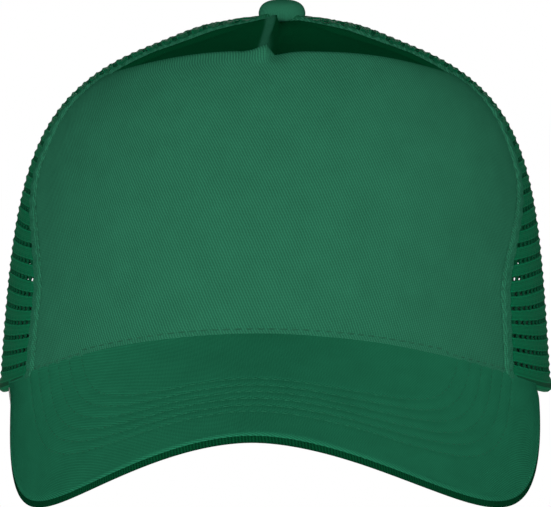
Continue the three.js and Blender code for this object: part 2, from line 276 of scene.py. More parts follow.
def finish_mesh(name, vertices, faces, uvs, material, sharp=50, shade=None):
    """A smooth-shaded object from millimetre points; uvs are the cloth's millimetres."""
    mesh = bpy.data.meshes.new(name)
    mesh.from_pydata((np.asarray(vertices) * MM).tolist(), [], faces)
    mesh.polygons.foreach_set("use_smooth", [True] * len(mesh.polygons))
    if uvs is not None:
        layer = mesh.uv_layers.new(name="cloth")
        index = np.zeros(len(mesh.loops), int)
        mesh.loops.foreach_get("vertex_index", index)
        layer.data.foreach_set("uv", np.asarray(uvs, np.float32)[index].ravel())
    if shade is not None:
        layer = mesh.attributes.new("shade", "FLOAT", "POINT")
        layer.data.foreach_set("value", np.asarray(shade, np.float32).ravel())
    mesh.materials.append(material)
    mesh.validate()
    turn_outward(mesh)
    mesh.set_sharp_from_angle(angle=math.radians(sharp))
    mesh.update()
    return link(bpy.data.objects.new(name, mesh))


def grid_faces(rows, columns, start=0, flip=False, wrap=False):
    """Quads of a grid of rows x columns points; wrap closes the columns into a ring."""
    made = []
    last = columns if wrap else columns - 1
    for j in range(rows - 1):
        for i in range(last):
            a = start + j * columns + i
            b = start + j * columns + (i + 1) % columns
            quad = (a, b, b + columns, a + columns)
            made.append(quad[::-1] if flip else quad)
    return made


def border(rows, columns):
    """The grid's outline as point numbers, anticlockwise."""
    low = list(range(columns))
    right = [j * columns + columns - 1 for j in range(1, rows)]
    high = [(rows - 1) * columns + i for i in range(columns - 2, -1, -1)]
    left = [j * columns for j in range(rows - 2, 0, -1)]
    return low + right + high + left


def shell_faces(rows, columns):
    """Faces of two grids of points, one after the other, closed round their outline."""
    count = rows * columns
    faces = grid_faces(rows, columns) + grid_faces(rows, columns, count, flip=True)
    edge = border(rows, columns)
    for n, a in enumerate(edge):
        b = edge[(n + 1) % len(edge)]
        faces.append((a, a + count, b + count, b))
    return faces


def shell(name, outer, inner, uv, material, sharp=50, shade=None):
    """A thin closed piece between two grids of points, outer on the side that is seen."""
    faces = shell_faces(*outer.shape[:2])
    points = np.concatenate((outer.reshape(-1, 3), inner.reshape(-1, 3)))
    if shade is not None:
        shade = np.stack((shade, shade))
    return finish_mesh(name, points, faces, np.concatenate((uv, uv)), material, sharp, shade)


def lengths(points):
    """Distance of each point of a line from its first one."""
    return np.concatenate(([0], np.cumsum(np.linalg.norm(np.diff(points, axis=0), axis=1))))


def cloth_uv(points):
    """Millimetres across and along a grid of points, measured from its middle column."""
    across = np.linalg.norm(np.diff(points, axis=1), axis=-1)
    u = np.concatenate((np.zeros((len(points), 1)), np.cumsum(across, axis=1)), 1)
    u -= u[:, [points.shape[1] // 2]]
    v = lengths(points[:, points.shape[1] // 2])
    return np.stack((u, np.broadcast_to(v[:, None], u.shape)), -1).reshape(-1, 2)


def resample(points, normals, steps):
    """Points, tangents and normals at these distances along a line of points."""
    length = lengths(points)
    at = [np.interp(steps, length, points[:, k]) for k in range(3)]
    out = [np.interp(steps, length, normals[:, k]) for k in range(3)]
    ahead = [np.interp(steps + 0.4, length, points[:, k]) for k in range(3)]
    behind = [np.interp(steps - 0.4, length, points[:, k]) for k in range(3)]
    return np.stack(at, -1), unit(np.stack(ahead, -1) - np.stack(behind, -1)), unit(np.stack(out, -1))


STITCH_SIDES = 6
STITCH_RINGS = 5


def stitch_rows(name, lines, pitch, length, radius, material, body="crown"):
    """Threads along each (points, normals) line: short rods whose ends go down into the cloth."""
    vertices, faces = [], []
    ring = np.arange(STITCH_SIDES) * 2 * math.pi / STITCH_SIDES
    share = np.linspace(-1, 1, STITCH_RINGS)
    for points, normals in lines:
        total = lengths(points)[-1]
        count = max(int(total / pitch), 1)
        middles = (np.arange(count) + 0.5) * total / count
        at, along, out = resample(points, normals, middles)
        side = unit(np.cross(along, out))
        for n in range(count):
            start = len(vertices)
            for s in share:
                thick = radius * math.sqrt(1.15 - s * s)
                lift = radius * (0.5 - 1.3 * s**4)
                centre = at[n] + along[n] * s * length / 2 + out[n] * lift
                for angle in ring:
                    spoke = side[n] * math.cos(angle) + out[n] * math.sin(angle)
                    vertices.append(centre + spoke * thick)
            faces += grid_faces(STITCH_RINGS, STITCH_SIDES, start, wrap=True)
            faces.append(tuple(start + k for k in range(STITCH_SIDES))[::-1])
            end = start + (STITCH_RINGS - 1) * STITCH_SIDES
            faces.append(tuple(end + k for k in range(STITCH_SIDES)))
    obj = finish_mesh(name, vertices, faces, None, material, 80)
    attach(obj, body)
    return obj


# ---- materials -------------------------------------------------------------------------------


def srgb(red, green, blue):
    """A linear colour from the usual 0 to 255 values."""
    linear = []
    for value in (red, green, blue):
        v = value / 255
        linear.append(v / 12.92 if v <= 0.04045 else ((v + 0.055) / 1.055) ** 2.4)
    return (*linear, 1)


class Shader:
    """A node material with one Principled BSDF."""

    def __init__(self, name, roughness, metallic=0.0, sheen=0.0, specular=0.5):
        self.material = bpy.data.materials.new(name)
        self.material.use_nodes = True
        self.tree = self.material.node_tree
        self.tree.nodes.clear()
        self.surface = self.node("ShaderNodeBsdfPrincipled")
        self.surface.inputs["Roughness"].default_value = roughness
        self.surface.inputs["Metallic"].default_value = metallic
        self.surface.inputs["Sheen Weight"].default_value = sheen
        self.surface.inputs["Specular IOR Level"].default_value = specular
        out = self.node("ShaderNodeOutputMaterial")
        self.tree.links.new(self.surface.outputs[0], out.inputs["Surface"])

    def node(self, kind, inputs=None, **settings):
        made = self.tree.nodes.new(kind)
        for key, value in settings.items():
            setattr(made, key, value)
        for key, value in (inputs or {}).items():
            self.put(made.inputs[key], value)
        return made

    def put(self, socket, value):
        if isinstance(value, bpy.types.NodeSocket):
            self.tree.links.new(value, socket)
        else:
            socket.default_value = value

    def math(self, operation, first, second=0.0, third=0.0):
        inputs = {0: first, 1: second, 2: third}
        return self.node("ShaderNodeMath", inputs, operation=operation).outputs[0]

    def cloth(self):
        """The cloth's own millimetres, as (across, along)."""
        uv = self.node("ShaderNodeUVMap", uv_map="cloth").outputs[0]
        split = self.node("ShaderNodeSeparateXYZ", {0: uv})
        return uv, split.outputs[0], split.outputs[1]

    def place(self):
        return self.node("ShaderNodeTexCoord").outputs["Object"]

    def noise(self, vector, scale, detail=3.0, roughness=0.5):
        inputs = {"Vector": vector, "Scale": scale, "Detail": detail, "Roughness": roughness}
        return self.node("ShaderNodeTexNoise", inputs).outputs["Fac"]

    def wave(self, across, along, angle, pitch):
        """Ribs of this pitch at this angle, from 0 to 1."""
        turn = math.radians(angle)
        x = self.math("MULTIPLY", across, math.cos(turn) * 2 * math.pi / pitch)
        y = self.math("MULTIPLY", along, math.sin(turn) * 2 * math.pi / pitch)
        sine = self.math("SINE", self.math("ADD", x, y))
        return self.math("MULTIPLY_ADD", sine, 0.5, 0.5)

    def ramp(self, factor, *stops):
        made = self.node("ShaderNodeValToRGB", {0: factor})
        ramp = made.color_ramp
        while len(ramp.elements) < len(stops):
            ramp.elements.new(0.5)
        for element, (position, colour) in zip(ramp.elements, stops):
            element.position = position
            element.color = colour
        return made.outputs[0]

    def colour(self, value):
        self.put(self.surface.inputs["Base Color"], value)

    def roughness(self, value):
        self.put(self.surface.inputs["Roughness"], value)

    def relief(self, height, depth):
        """Bump of this depth in millimetres from a height of 0 to 1."""
        inputs = {"Height": height, "Distance": depth * MM, "Strength": 1.0}
        made = self.node("ShaderNodeBump", inputs)
        self.tree.links.new(made.outputs[0], self.surface.inputs["Normal"])


def tone(colour, share):
    """The same colour, lighter or darker."""
    return (*[min(c * share, 1) for c in colour[:3]], 1)


# Colour of the painted shade that the front twill is mixed towards, behind the fold and on the upper
# seam strip.
PAINTED_SHADE_GREEN = srgb(5, 74, 42)


def twill(name, colour, angle, pitch=0.77, depth=0.06, contrast=0.34, shaded=False):
    """Cotton-blend twill: fine slanting ribs crossed by yarns, with fuzz and faint slubs. If shaded,
    painted shade from the mesh's 'shade' attribute darkens it towards a deep green.
    """
    s = Shader(name, 0.9, specular=0.0)
    uv, across, along = s.cloth()
    drift = s.noise(uv, 0.35, 2)
    bent = s.math("MULTIPLY_ADD", drift, 0.5, across)
    rib = s.wave(bent, along, angle, pitch)
    yarn = s.wave(bent, along, angle + 62, pitch * 0.62)
    fuzz = s.noise(uv, 3.2, 4, 0.65)
    slub = s.noise(uv, 0.09, 4, 0.6)
    weave = s.math("MULTIPLY_ADD", yarn, 0.3, s.math("MULTIPLY", rib, 0.7))
    height = s.math("MULTIPLY_ADD", fuzz, 0.5, weave)
    shade = s.math("ADD", s.math("MULTIPLY", weave, 0.5), s.math("MULTIPLY", fuzz, 0.3))
    shade = s.math("MULTIPLY_ADD", slub, 0.2, shade)
    painted = s.ramp(shade, (0.2, tone(colour, 1 - contrast)), (0.78, tone(colour, 1 + contrast)))
    # painted shade: the cloth is darkened towards the deep green where the 'shade' attribute is low
    if shaded:
        painted_shade = s.node("ShaderNodeAttribute", attribute_name="shade").outputs["Fac"]
        deep = s.node("ShaderNodeMix", {0: painted_shade, 6: PAINTED_SHADE_GREEN, 7: painted}, data_type="RGBA")
        painted = deep.outputs[2]
    s.colour(painted)
    s.roughness(s.math("MULTIPLY_ADD", fuzz, 0.12, 0.78))
    s.relief(height, depth)
    return s.material


def thread(name, colour):
    """Spun polyester sewing thread."""
    s = Shader(name, 0.75, specular=0.1)
    place = s.place()
    ply = s.noise(place, 2600, 2)
    s.colour(s.ramp(ply, (0.3, tone(colour, 0.8)), (0.7, tone(colour, 1.15))))
    s.relief(ply, 0.04)
    return s.material


FRONT_GREEN = srgb(43, 112, 84)
# Partly painted light: the brim's twill is given a lighter green than the front panel's same cloth,
# standing in for more light on the brim.
BRIM_GREEN_PAINTED_LIGHT = srgb(35, 118, 85)
# Partly painted shade: the under cover, which wraps round the brim's edge, is given a much darker green
# so that the edge looks shaded.
UNDER_GREEN_PAINTED_SHADE = srgb(6, 62, 36)
NET_GREEN = srgb(5, 108, 70)
TAPE_GREEN = srgb(34, 98, 72)


# ---- front panel -----------------------------------------------------------------------------

FOLD_DIP = 2.6  # how deep the cloth sags behind the fold
SEAM_STRIP = 4.8  # width of the topstitched strip beside the mesh seams
HEM_STITCH = 3.4  # height of the stitching above the brim seam
STITCH_PITCH = 3.4
RIB_PITCH = 5.2  # of the net's ribs pressing through the strip
DART_LEAN = 2.6  # how far the dart's foot lies to the wearer's right of its top


def front_grid(columns, rows, edge_gap=0.2):
    """Angles, profile parameters and seam distances over the front panel."""
    v = np.linspace(0, 1, rows)
    t = TOP_T * v
    share = np.sin(np.linspace(-1, 1, columns) * math.pi / 2 * 0.92) / math.sin(math.pi / 2 * 0.92)
    seam = front_seam(t) - math.radians(edge_gap)
    a = seam[:, None] * share[None, :]
    t = np.broadcast_to(t[:, None], a.shape)
    middle = crown(a, t)
    from_edge = []
    for side in (0, -1):
        edge = middle[:, [side]]
        from_edge.append(np.linalg.norm(middle - edge, axis=-1))
    return a, t, middle, np.minimum(*from_edge)


def dart_x(z):
    """Where the dart lies across the panel at this height."""
    return LEAN - 1.6 - DART_LEAN * np.clip((119 - z) / 9, 0, 1.6)


def row_lengths(points):
    """Distance up the cloth from the panel's lower edge."""
    steps = np.linalg.norm(np.diff(points, axis=0, prepend=points[:1]), axis=-1)
    return np.cumsum(steps, axis=0)


def front_relief(t, points, from_edge):
    """How far the cloth stands off the plain crown surface."""
    x, z = points[..., 0], points[..., 2]
    behind = smooth((t - BREAK_T) / 0.03) * (1 - smooth((t - 0.86) / 0.1))
    inward = smooth((from_edge - SEAM_STRIP) / 8)
    from_dart = x - dart_x(z)
    above_fold = smooth((t - (BREAK_T - 0.05)) / 0.05)
    pleat = np.where(from_dart < 0, bump(from_dart + 0.6, 3.6), bump(from_dart, 0.8))
    crease = bump(from_dart + 8.5, 0.9) * bump((t - BREAK_T + 0.01) / 0.05, 1)
    dip = -FOLD_DIP * behind * inward * (1 - 0.8 * pleat * (from_dart < 0))
    hollow = -1.6 * smooth(from_dart / 0.8) * bump(np.maximum(from_dart, 0), 6) * above_fold
    ridge = 1.9 * pleat * above_fold * (1 - smooth((t - 0.9) / 0.06))
    swell = 0.75 + 0.6 * smooth((t - 0.55) / 0.15)
    swell *= smooth(from_edge / 1.0) * (1 - smooth((from_edge - SEAM_STRIP + 0.5) / 0.8))
    lip = -0.7 * (1 - smooth(from_edge / 1.0))
    seam_groove = -0.45 * bump(from_edge - SEAM_STRIP, 0.5)
    length = row_lengths(points)
    hem_groove = -0.28 * bump(length - HEM_STITCH, 0.5)
    needle = 0.5 + 0.5 * np.cos(2 * math.pi * x / STITCH_PITCH)
    hem_groove = hem_groove * (0.6 + 0.7 * needle)
    hem_roll = 0.3 * bump(length - 1.5, 1.2) - 0.5 * (1 - smooth(length / 0.8))
    turn = 2 * math.pi * length
    pitted = 0.26 * np.cos(turn / RIB_PITCH) * bump(from_edge - 2.4, 2.2)
    pitted += 0.2 * np.sin(turn / STITCH_PITCH + x) * bump(from_edge - SEAM_STRIP + 0.3, 1.0)
    pitted += 0.12 * np.sin(turn / 1.9 + 1.5 * from_edge) * bump(from_edge - 2.2, 1.8)
    soft = 0.35 * np.sin(x / 17 + 1.3) * np.sin(z / 21 + 0.4) + 0.22 * np.sin(x / 8.3 - z / 13)
    soft = soft * smooth(from_edge / 14) * smooth(length / 12)
    raised = dip + hollow + ridge + swell + lip + seam_groove + hem_groove + hem_roll
    return raised + pitted + soft - 0.25 * crease


def front_shade(a, t, points, from_edge):
    """Painted shade on the cloth: 0 where it lies behind the fold, painted in deep shade, and 1
    elsewhere, with mottled painted shade on the seam strip.
    """
    softness = 0.035 + 0.11 * smooth((np.abs(a) - 0.25) / 0.5)
    behind = smooth((t - BREAK_T + 0.35 * softness) / softness)
    inward = smooth((from_edge - SEAM_STRIP) / 1.6)
    from_dart = points[..., 0] - dart_x(points[..., 2])
    lit = smooth((from_dart + 4.4) / 1.4) * (1 - smooth((from_dart + 0.9) / 0.8))
    strip = 1 - smooth((from_edge - SEAM_STRIP + 0.3) / 0.5)
    length = row_lengths(points)
    # mottled painted shade on the seam strip, stronger towards the top
    strip_mottled_shade = np.sin(length * 2.1 + 3 * from_edge) + np.sin(length * 3.7 - 2.2 * from_edge + 1)
    strip_mottled_shade = (0.2 + 0.45 * smooth((t - 0.5) / 0.2)) * strip * smooth((strip_mottled_shade + 0.8) / 1.6)
    return 1 - behind * inward * (1 - lit) - strip_mottled_shade


def soften(points, passes):
    """Averages every row of points with its neighbours, this many times over."""
    for _ in range(passes):
        points[1:-1] = 0.25 * points[:-2] + 0.5 * points[1:-1] + 0.25 * points[2:]
    return points


def make_front_panel(material, thread_material):
    rows, columns = 190, 240
    a, t, points, from_edge = front_grid(columns, rows)
    relief = front_relief(t, points, from_edge)
    normals = crown_normal(a, t)
    near_fold = bump((t - BREAK_T) / 0.045, 1)[..., None]
    rounded = soften(points.copy(), 14)
    points = mix(points, rounded, near_fold)
    normals = unit(soften(normals.copy(), 14))
    outer = points + normals * relief[..., None]
    inner = points + normals * np.minimum(relief - 0.5, -PANEL_THICK)[..., None]
    # painted shade behind the fold and on the seam strip, passed to the material as the 'shade'
    # attribute
    shade = front_shade(a, t, points, from_edge)
    panel = shell("front_panel_cloth", outer, inner, cloth_uv(outer), material, 60, shade)
    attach(panel, "crown")
    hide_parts("front_panel")

    def line(rows_of, columns_of):
        return outer[rows_of, columns_of], normals[rows_of, columns_of]

    length = row_lengths(points)
    hem_row = np.argmin(np.abs(length - HEM_STITCH), axis=0)
    keep = np.arange(6, columns - 6)
    hem = line(hem_row[keep], keep)
    sides = []
    across = np.arange(rows)
    for half in (slice(0, columns // 2), slice(columns // 2, columns)):
        start = half.start
        near = np.argmin(np.abs(from_edge[:, half] - SEAM_STRIP), axis=1) + start
        used = across[6:-3]
        sides.append(line(used, near[used]))
    stitch_rows("front_topstitching", [hem, *sides], STITCH_PITCH, 2.5, 0.2, thread_material)


def make_backing(material):
    """The stiff open-weave lining behind the front panel."""
    rows, columns = 60, 80
    t = np.linspace(0.03, 0.9, rows)
    a = (front_seam(t) - math.radians(4))[:, None] * np.linspace(-1, 1, columns)[None, :]
    t = np.broadcast_to(t[:, None], a.shape)
    behind = smooth((t - BREAK_T) / 0.03)
    from_edge = smooth((1 - np.abs(np.linspace(-1, 1, columns))) / 0.12)[None, :]
    sag = -(FOLD_DIP + 1.8) * behind * from_edge - 1.2 * smooth((t - 0.5) / 0.1)
    outer = soften(crown_at(a, t, -1.5 + sag), 4)
    inner = soften(crown_at(a, t, -2.1 + sag), 4)
    lining = shell("front_lining", outer, inner, cloth_uv(inner), material, 60)
    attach(lining, "crown")
    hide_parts("front_backing")


# ---- net panels ------------------------------------------------------------------------------

CELL_WIDTH = 4.4
CELL_HEIGHT = 5.2
CELL_STEPS = 4  # points along one cell's lower side, so that a half cell falls on a point
HEM_STEPS = (0, 0.7, 2.2, 3.8, 4.6)  # heights of the turned-up hem's rows
HEM_BULGE = (-0.9, 0.25, 0.5, 0.1, -0.4)
CELL_RINGS = {
    4: ((-1, -0.4), (-0.66, -0.88), (0, -1), (0.66, -0.88), (1, -0.4)),
    2: ((-1, -0.45), (0, -1), (1, -0.45)),
}
HOLE_HALF_HEIGHT = 0.7
RIDGE_INSET = 0.2  # of the ridge round a hole, from the cell's border
RIDGE_HALF_HEIGHT = 1.3
ROW_RISE = 1.5  # how far the side nets' rows climb from the front seam
SOLID_EDGE = 0.5  # width left without holes beside a seam
BAR_HALF_WIDTH = 0.9  # of the bar between two holes of one row


def net_row_t(a, t):
    """The parameter along one row of the net: level round the wall, parallel to the rim below."""
    height = crown(np.full_like(a, math.pi / 2), t)[..., 2]
    rise = ROW_RISE * smooth((a - math.radians(58)) / 0.45) * (1 - smooth((a - 1.45) / 0.4))
    level = t_at_height(a, height + rise + 0.2 * np.sin(a * 11 + 40 * t))
    weight = smooth(t / 0.22) * (1 - smooth((t - 0.42) / 0.28))
    return mix(t, level, weight)


def row_heights(a_middle):
    """Profile parameters of the rows' borders: the hem's first, then one for every cell."""
    t = np.linspace(0, TOP_T, 800)
    points = crown(np.full_like(t, a_middle), t)
    length = lengths(points)
    rows = np.arange(HEM_STEPS[-1] + CELL_HEIGHT, length[-1] - 1.5, CELL_HEIGHT)
    return np.interp([*HEM_STEPS, *rows, length[-1]], length, t)


class Net:
    """One welded net panel, built row by row; front and back points go in together."""

    def __init__(self, side, a_range, inside):
        self.side = side
        self.a_range = a_range
        self.inside = inside
        self.points, self.uv, self.faces = [], [], []
        self.borders = []

    def border(self, t, v, offset):
        """Adds the points along one border: its two ends and all lattice points between them."""
        a = np.linspace(*self.a_range, 500)
        row_t = net_row_t(a, np.full_like(a, t))
        plain = crown(a, row_t)
        free = self.inside(a, row_t, plain)
        held = np.flatnonzero(free > 0)
        if len(held) < 2:
            return None
        x = lengths(plain)
        ends = []
        for index, neighbour in ((held[0], held[0] - 1), (held[-1], held[-1] + 1)):
            if 0 <= neighbour < len(a):
                share = free[index] / (free[index] - free[neighbour])
                ends.append(mix(x[index], x[neighbour], share))
            else:
                ends.append(x[index])
        x -= ends[0] + SOLID_EDGE
        ends = [-SOLID_EDGE, ends[1] - ends[0] - SOLID_EDGE]
        pitch = CELL_WIDTH / CELL_STEPS
        last = math.ceil(ends[1] / pitch - 0.3) - 1
        lattice = list(range(0, last + 1))
        at = np.array([ends[0], *(k * pitch for k in lattice), ends[1]])
        a_at = np.interp(at, x, a)
        t_at = np.interp(at, x, row_t)
        lift = 1 - smooth((at - ends[0]) / 1.2) * smooth((ends[1] - at) / 1.2)
        index = self.add(a_at, t_at, offset - 0.35 * lift, at, v)
        back = self.add(a_at, t_at, np.minimum(offset - 0.55, -0.75), at, v)
        self.borders.append({
            "a": a, "t": row_t, "x": x, "ends": ends, "at": at, "v": v,
            "front": {k: index + n + 1 for n, k in enumerate(lattice)},
            "back": {k: back + n + 1 for n, k in enumerate(lattice)},
            "lattice": lattice, "first": index, "count": len(at), "first_back": back,
        })
        return self.borders[-1]

    def add(self, a, t, offset, u, v):
        start = len(self.points)
        placed = crown_at(self.side * np.asarray(a), t, offset)
        self.points += placed.tolist()
        self.uv += [(float(x), float(y)) for x, y in zip(u, np.broadcast_to(v, np.shape(u)))]
        return start

    def quads(self, low, high, flip):
        """Joins two lines of points whose counts may differ."""
        i = j = 0
        while i < len(low) - 1 or j < len(high) - 1:
            low_x = self.uv[low[i + 1]][0] if i < len(low) - 1 else math.inf
            high_x = self.uv[high[j + 1]][0] if j < len(high) - 1 else math.inf
            if low_x <= high_x:
                face = (low[i], low[i + 1], high[j])
                i += 1
            else:
                face = (low[i], high[j + 1], high[j])
                j += 1
            self.faces.append(face[::-1] if flip else face)

    def cell(self, low, high, first, steps):
        """One hole between two borders, with its raised rim; steps is 4, or 2 for a half cell."""
        pitch = CELL_WIDTH / CELL_STEPS
        columns = list(range(first, first + steps + 1))
        centre = (first + steps / 2) * pitch
        rings = []
        for border_ring in ("front", "back"):
            bottom = [low[border_ring][k] for k in columns]
            top = [high[border_ring][k] for k in columns]
            rings.append(bottom + top[::-1])
        v_middle = (low["v"] + high["v"]) / 2
        height = high["v"] - low["v"]
        outline = CELL_RINGS[steps]
        shape = [*outline, *((x, -y) for x, y in outline[::-1])]

        def ring(half_width, half_height, top_offset, side_offset):
            dx = np.array([x * half_width for x, _ in shape])
            dy = np.array([y * half_height for _, y in shape])
            share = 0.5 + dy / height
            x = centre + dx
            a = mix(np.interp(x, low["x"], low["a"]), np.interp(x, high["x"], high["a"]), share)
            t = mix(np.interp(x, low["x"], low["t"]), np.interp(x, high["x"], high["t"]), share)
            weight = np.clip(np.abs(np.array([y for _, y in shape])), 0, 1)
            start = self.add(a, t, mix(side_offset, top_offset, weight), x, v_middle + dy)
            return list(range(start, start + len(shape)))

        half = steps * pitch / 2
        ridge_half, hole_half = half - RIDGE_INSET, half - BAR_HALF_WIDTH
        ridge = ring(ridge_half, RIDGE_HALF_HEIGHT, 0.1, -0.5)
        front_edge = ring(hole_half, HOLE_HALF_HEIGHT, -0.3, -0.62)
        back_edge = ring(hole_half, HOLE_HALF_HEIGHT, -0.78, -0.85)
        back_ridge = ring(ridge_half, RIDGE_HALF_HEIGHT, -1.05, -0.95)
        loops = [rings[0], ridge, front_edge, back_edge, back_ridge, rings[1]]
        count = len(shape)
        for outer, inner in zip(loops[:-1], loops[1:]):
            for n in range(count):
                m = (n + 1) % count
                self.faces.append((outer[n], outer[m], inner[m], inner[n]))

    def row(self, low, high, number, solid):
        """The cells of one row, and plain cloth from the last cell to the panel's edge."""
        room = min(low["lattice"][-1], high["lattice"][-1]) if low["lattice"] and high["lattice"] else 0
        sizes = [2] if number % 2 else []
        sizes += [4] * ((room - sum(sizes)) // 4)
        if room - sum(sizes) >= 2:
            sizes.append(2)
        solid = solid or room < 6
        for layer, flip in (("front", False), ("back", True)):
            start = "first" if layer == "front" else "first_back"
            lines = []
            for line in (low, high):
                lines.append(list(range(line[start], line[start] + line["count"])))
            if solid:
                self.quads(lines[0], lines[1], flip)
                continue
            end = sum(sizes)
            cuts = []
            for line, numbers in zip((low, high), lines):
                cuts.append((numbers.index(line[layer][0]), numbers.index(line[layer][end])))
            self.quads(lines[0][: cuts[0][0] + 1], lines[1][: cuts[1][0] + 1], flip)
            self.quads(lines[0][cuts[0][1] :], lines[1][cuts[1][1] :], flip)
        if not solid:
            first = 0
            for steps in sizes:
                self.cell(low, high, first, steps)
                first += steps

    def walls(self):
        """Closes the panel's outline between its front and back."""
        for line, flip in ((self.borders[0], False), (self.borders[-1], True)):
            for n in range(line["count"] - 1):
                a, b = line["first"] + n, line["first_back"] + n
                face = (a, b, b + 1, a + 1)
                self.faces.append(face[::-1] if flip else face)
        for low, high in zip(self.borders[:-1], self.borders[1:]):
            for at, flip in ((0, True), (-1, False)):
                ends = []
                for line in (low, high):
                    ends.append([line[key] + at % line["count"] for key in ("first", "first_back")])
                face = (ends[0][0], ends[0][1], ends[1][1], ends[1][0])
                self.faces.append(face[::-1] if flip else face)


def make_net(name, node, side, a_range, a_middle, inside, material):
    net = Net(side, a_range, inside)
    heights = row_heights(a_middle)
    v = 0.0
    hem_rows = len(HEM_STEPS)
    for n, t in enumerate(heights):
        offset = HEM_BULGE[n] if n < hem_rows else -0.32
        if n > 0:
            v = HEM_STEPS[n] if n < hem_rows else v + CELL_HEIGHT
        line = net.border(t, v, offset)
        if line is None:
            break
    for n, (low, high) in enumerate(zip(net.borders[:-1], net.borders[1:])):
        solid = n < hem_rows - 1 or n >= len(heights) - 2
        net.row(low, high, n, solid)
    net.walls()
    panel = finish_mesh(name, net.points, net.faces, net.uv, material, 75)
    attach(panel, "crown")
    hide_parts(node)


def arch_height(x):
    inside = np.clip(1 - (np.abs(x) / OPENING_HALF) ** ARCH_POWER, 0, 1)
    return OPENING_HEIGHT * inside ** (1 / ARCH_POWER)


def make_nets(material):
    gap = math.radians(0.2)
    for word, side in (("left", 1), ("right", -1)):
        make_net(
            f"side_net_{word}", f"side_mesh_{word}", side,
            (math.radians(52), SIDE_SEAM - gap), math.radians(95),
            lambda a, t, p: a - front_seam(t) - gap, material,
        )
        make_net(
            f"rear_net_{word}", f"rear_mesh_{word}", side,
            (SIDE_SEAM + gap, math.pi - math.radians(0.02)), math.radians(135),
            lambda a, t, p: np.where(p[..., 0] < OPENING_HALF, p[..., 2] - arch_height(p[..., 0]), 9),
            material,
        )


def net_material():
    """Knitted nylon: round yarns along each bar, a little shinier than the twill, with painted shade
    along each row of holes and painted highlights on its rims.
    """
    s = Shader("net", 0.8, specular=0.04)
    uv, across, along = s.cloth()
    yarn = s.wave(across, along, 90, 0.55)
    twist = s.wave(across, along, 35, 0.8)
    fuzz = s.noise(uv, 2.4, 3, 0.6)
    height = s.math("MULTIPLY_ADD", yarn, 0.5, s.math("MULTIPLY", twist, 0.35))
    height = s.math("MULTIPLY_ADD", fuzz, 0.3, height)
    hem_share = HEM_STEPS[-1] / CELL_HEIGHT
    row = s.math("FRACT", s.math("MULTIPLY_ADD", along, 1 / CELL_HEIGHT, 1 - hem_share))
    from_hole = s.math("MULTIPLY", s.math("ABSOLUTE", s.math("SUBTRACT", row, 0.5)), 2)
    # painted shade and highlight: a dark line painted along the middle of each row of holes, over the
    # bars between them too, with lighter painted rims beside it
    weft = s.ramp(
        from_hole, *((at, tone((1, 1, 1), share)) for at, share in (
            (0.0, 0.4), (0.25, 0.42), (0.34, 1.5), (0.42, 1.3), (0.52, 0.75), (1.0, 0.85),
        ))
    )
    yarns = s.ramp(height, (0.2, tone(NET_GREEN, 0.95)), (0.95, tone(NET_GREEN, 1.5)))
    s.colour(s.node("ShaderNodeVectorMath", {0: yarns, 1: weft}, operation="MULTIPLY").outputs[0])
    s.roughness(s.math("MULTIPLY_ADD", fuzz, 0.15, 0.65))
    s.relief(height, 0.05)
    return s.material


# ---- tapes, binding, sweatband and label ------------------------------------------------------


def woven_tape(name, colour, pitch=1.1):
    """Herringbone cotton tape."""
    s = Shader(name, 0.85, specular=0.2)
    uv, across, along = s.cloth()
    side = s.math("ABSOLUTE", s.math("SUBTRACT", s.math("FRACT", s.math("MULTIPLY", across, 0.25)), 0.5))
    rib = s.wave(s.math("MULTIPLY", side, 4.0), along, 45, pitch)
    fuzz = s.noise(uv, 3, 4, 0.65)
    height = s.math("MULTIPLY_ADD", fuzz, 0.4, rib)
    s.colour(s.ramp(height, (0.1, tone(colour, 0.82)), (1.0, tone(colour, 1.15))))
    s.relief(height, 0.08)
    return s.material


def buckram_material():
    """Stiffened open gauze: a square grid of threads with dark gaps between them."""
    s = Shader("buckram", 0.8, specular=0.2)
    uv, across, along = s.cloth()
    warp = s.wave(across, along, 0, 0.9)
    weft = s.wave(across, along, 90, 0.9)
    height = s.math("MAXIMUM", warp, weft)
    fuzz = s.noise(uv, 2.5, 3)
    height = s.math("MULTIPLY_ADD", fuzz, 0.2, height)
    s.colour(s.ramp(height, (0.45, srgb(120, 122, 116)), (0.8, srgb(226, 226, 218))))
    s.relief(height, 0.12)
    return s.material


def band_material():
    """Soft brushed cotton with faint ribs along the band."""
    s = Shader("sweatband_cotton", 0.9, sheen=0.1, specular=0.15)
    uv, across, along = s.cloth()
    rib = s.wave(across, along, 90, 0.8)
    fuzz = s.noise(uv, 2.2, 5, 0.7)
    height = s.math("MULTIPLY_ADD", fuzz, 0.7, s.math("MULTIPLY", rib, 0.5))
    s.colour(s.ramp(height, (0.2, tone(TAPE_GREEN, 0.8)), (0.9, tone(TAPE_GREEN, 1.2))))
    s.relief(height, 0.1)
    return s.material


def label_material():
    """Blank satin label woven from white yarn."""
    s = Shader("label_satin", 0.45, sheen=0.1, specular=0.4)
    _, across, along = s.cloth()
    yarn = s.wave(across, along, 90, 0.35)
    float_yarn = s.wave(across, along, 20, 0.9)
    height = s.math("MULTIPLY_ADD", float_yarn, 0.4, yarn)
    s.colour(s.ramp(height, (0.2, srgb(206, 206, 200)), (1.0, srgb(240, 240, 235))))
    s.relief(height, 0.04)
    return s.material


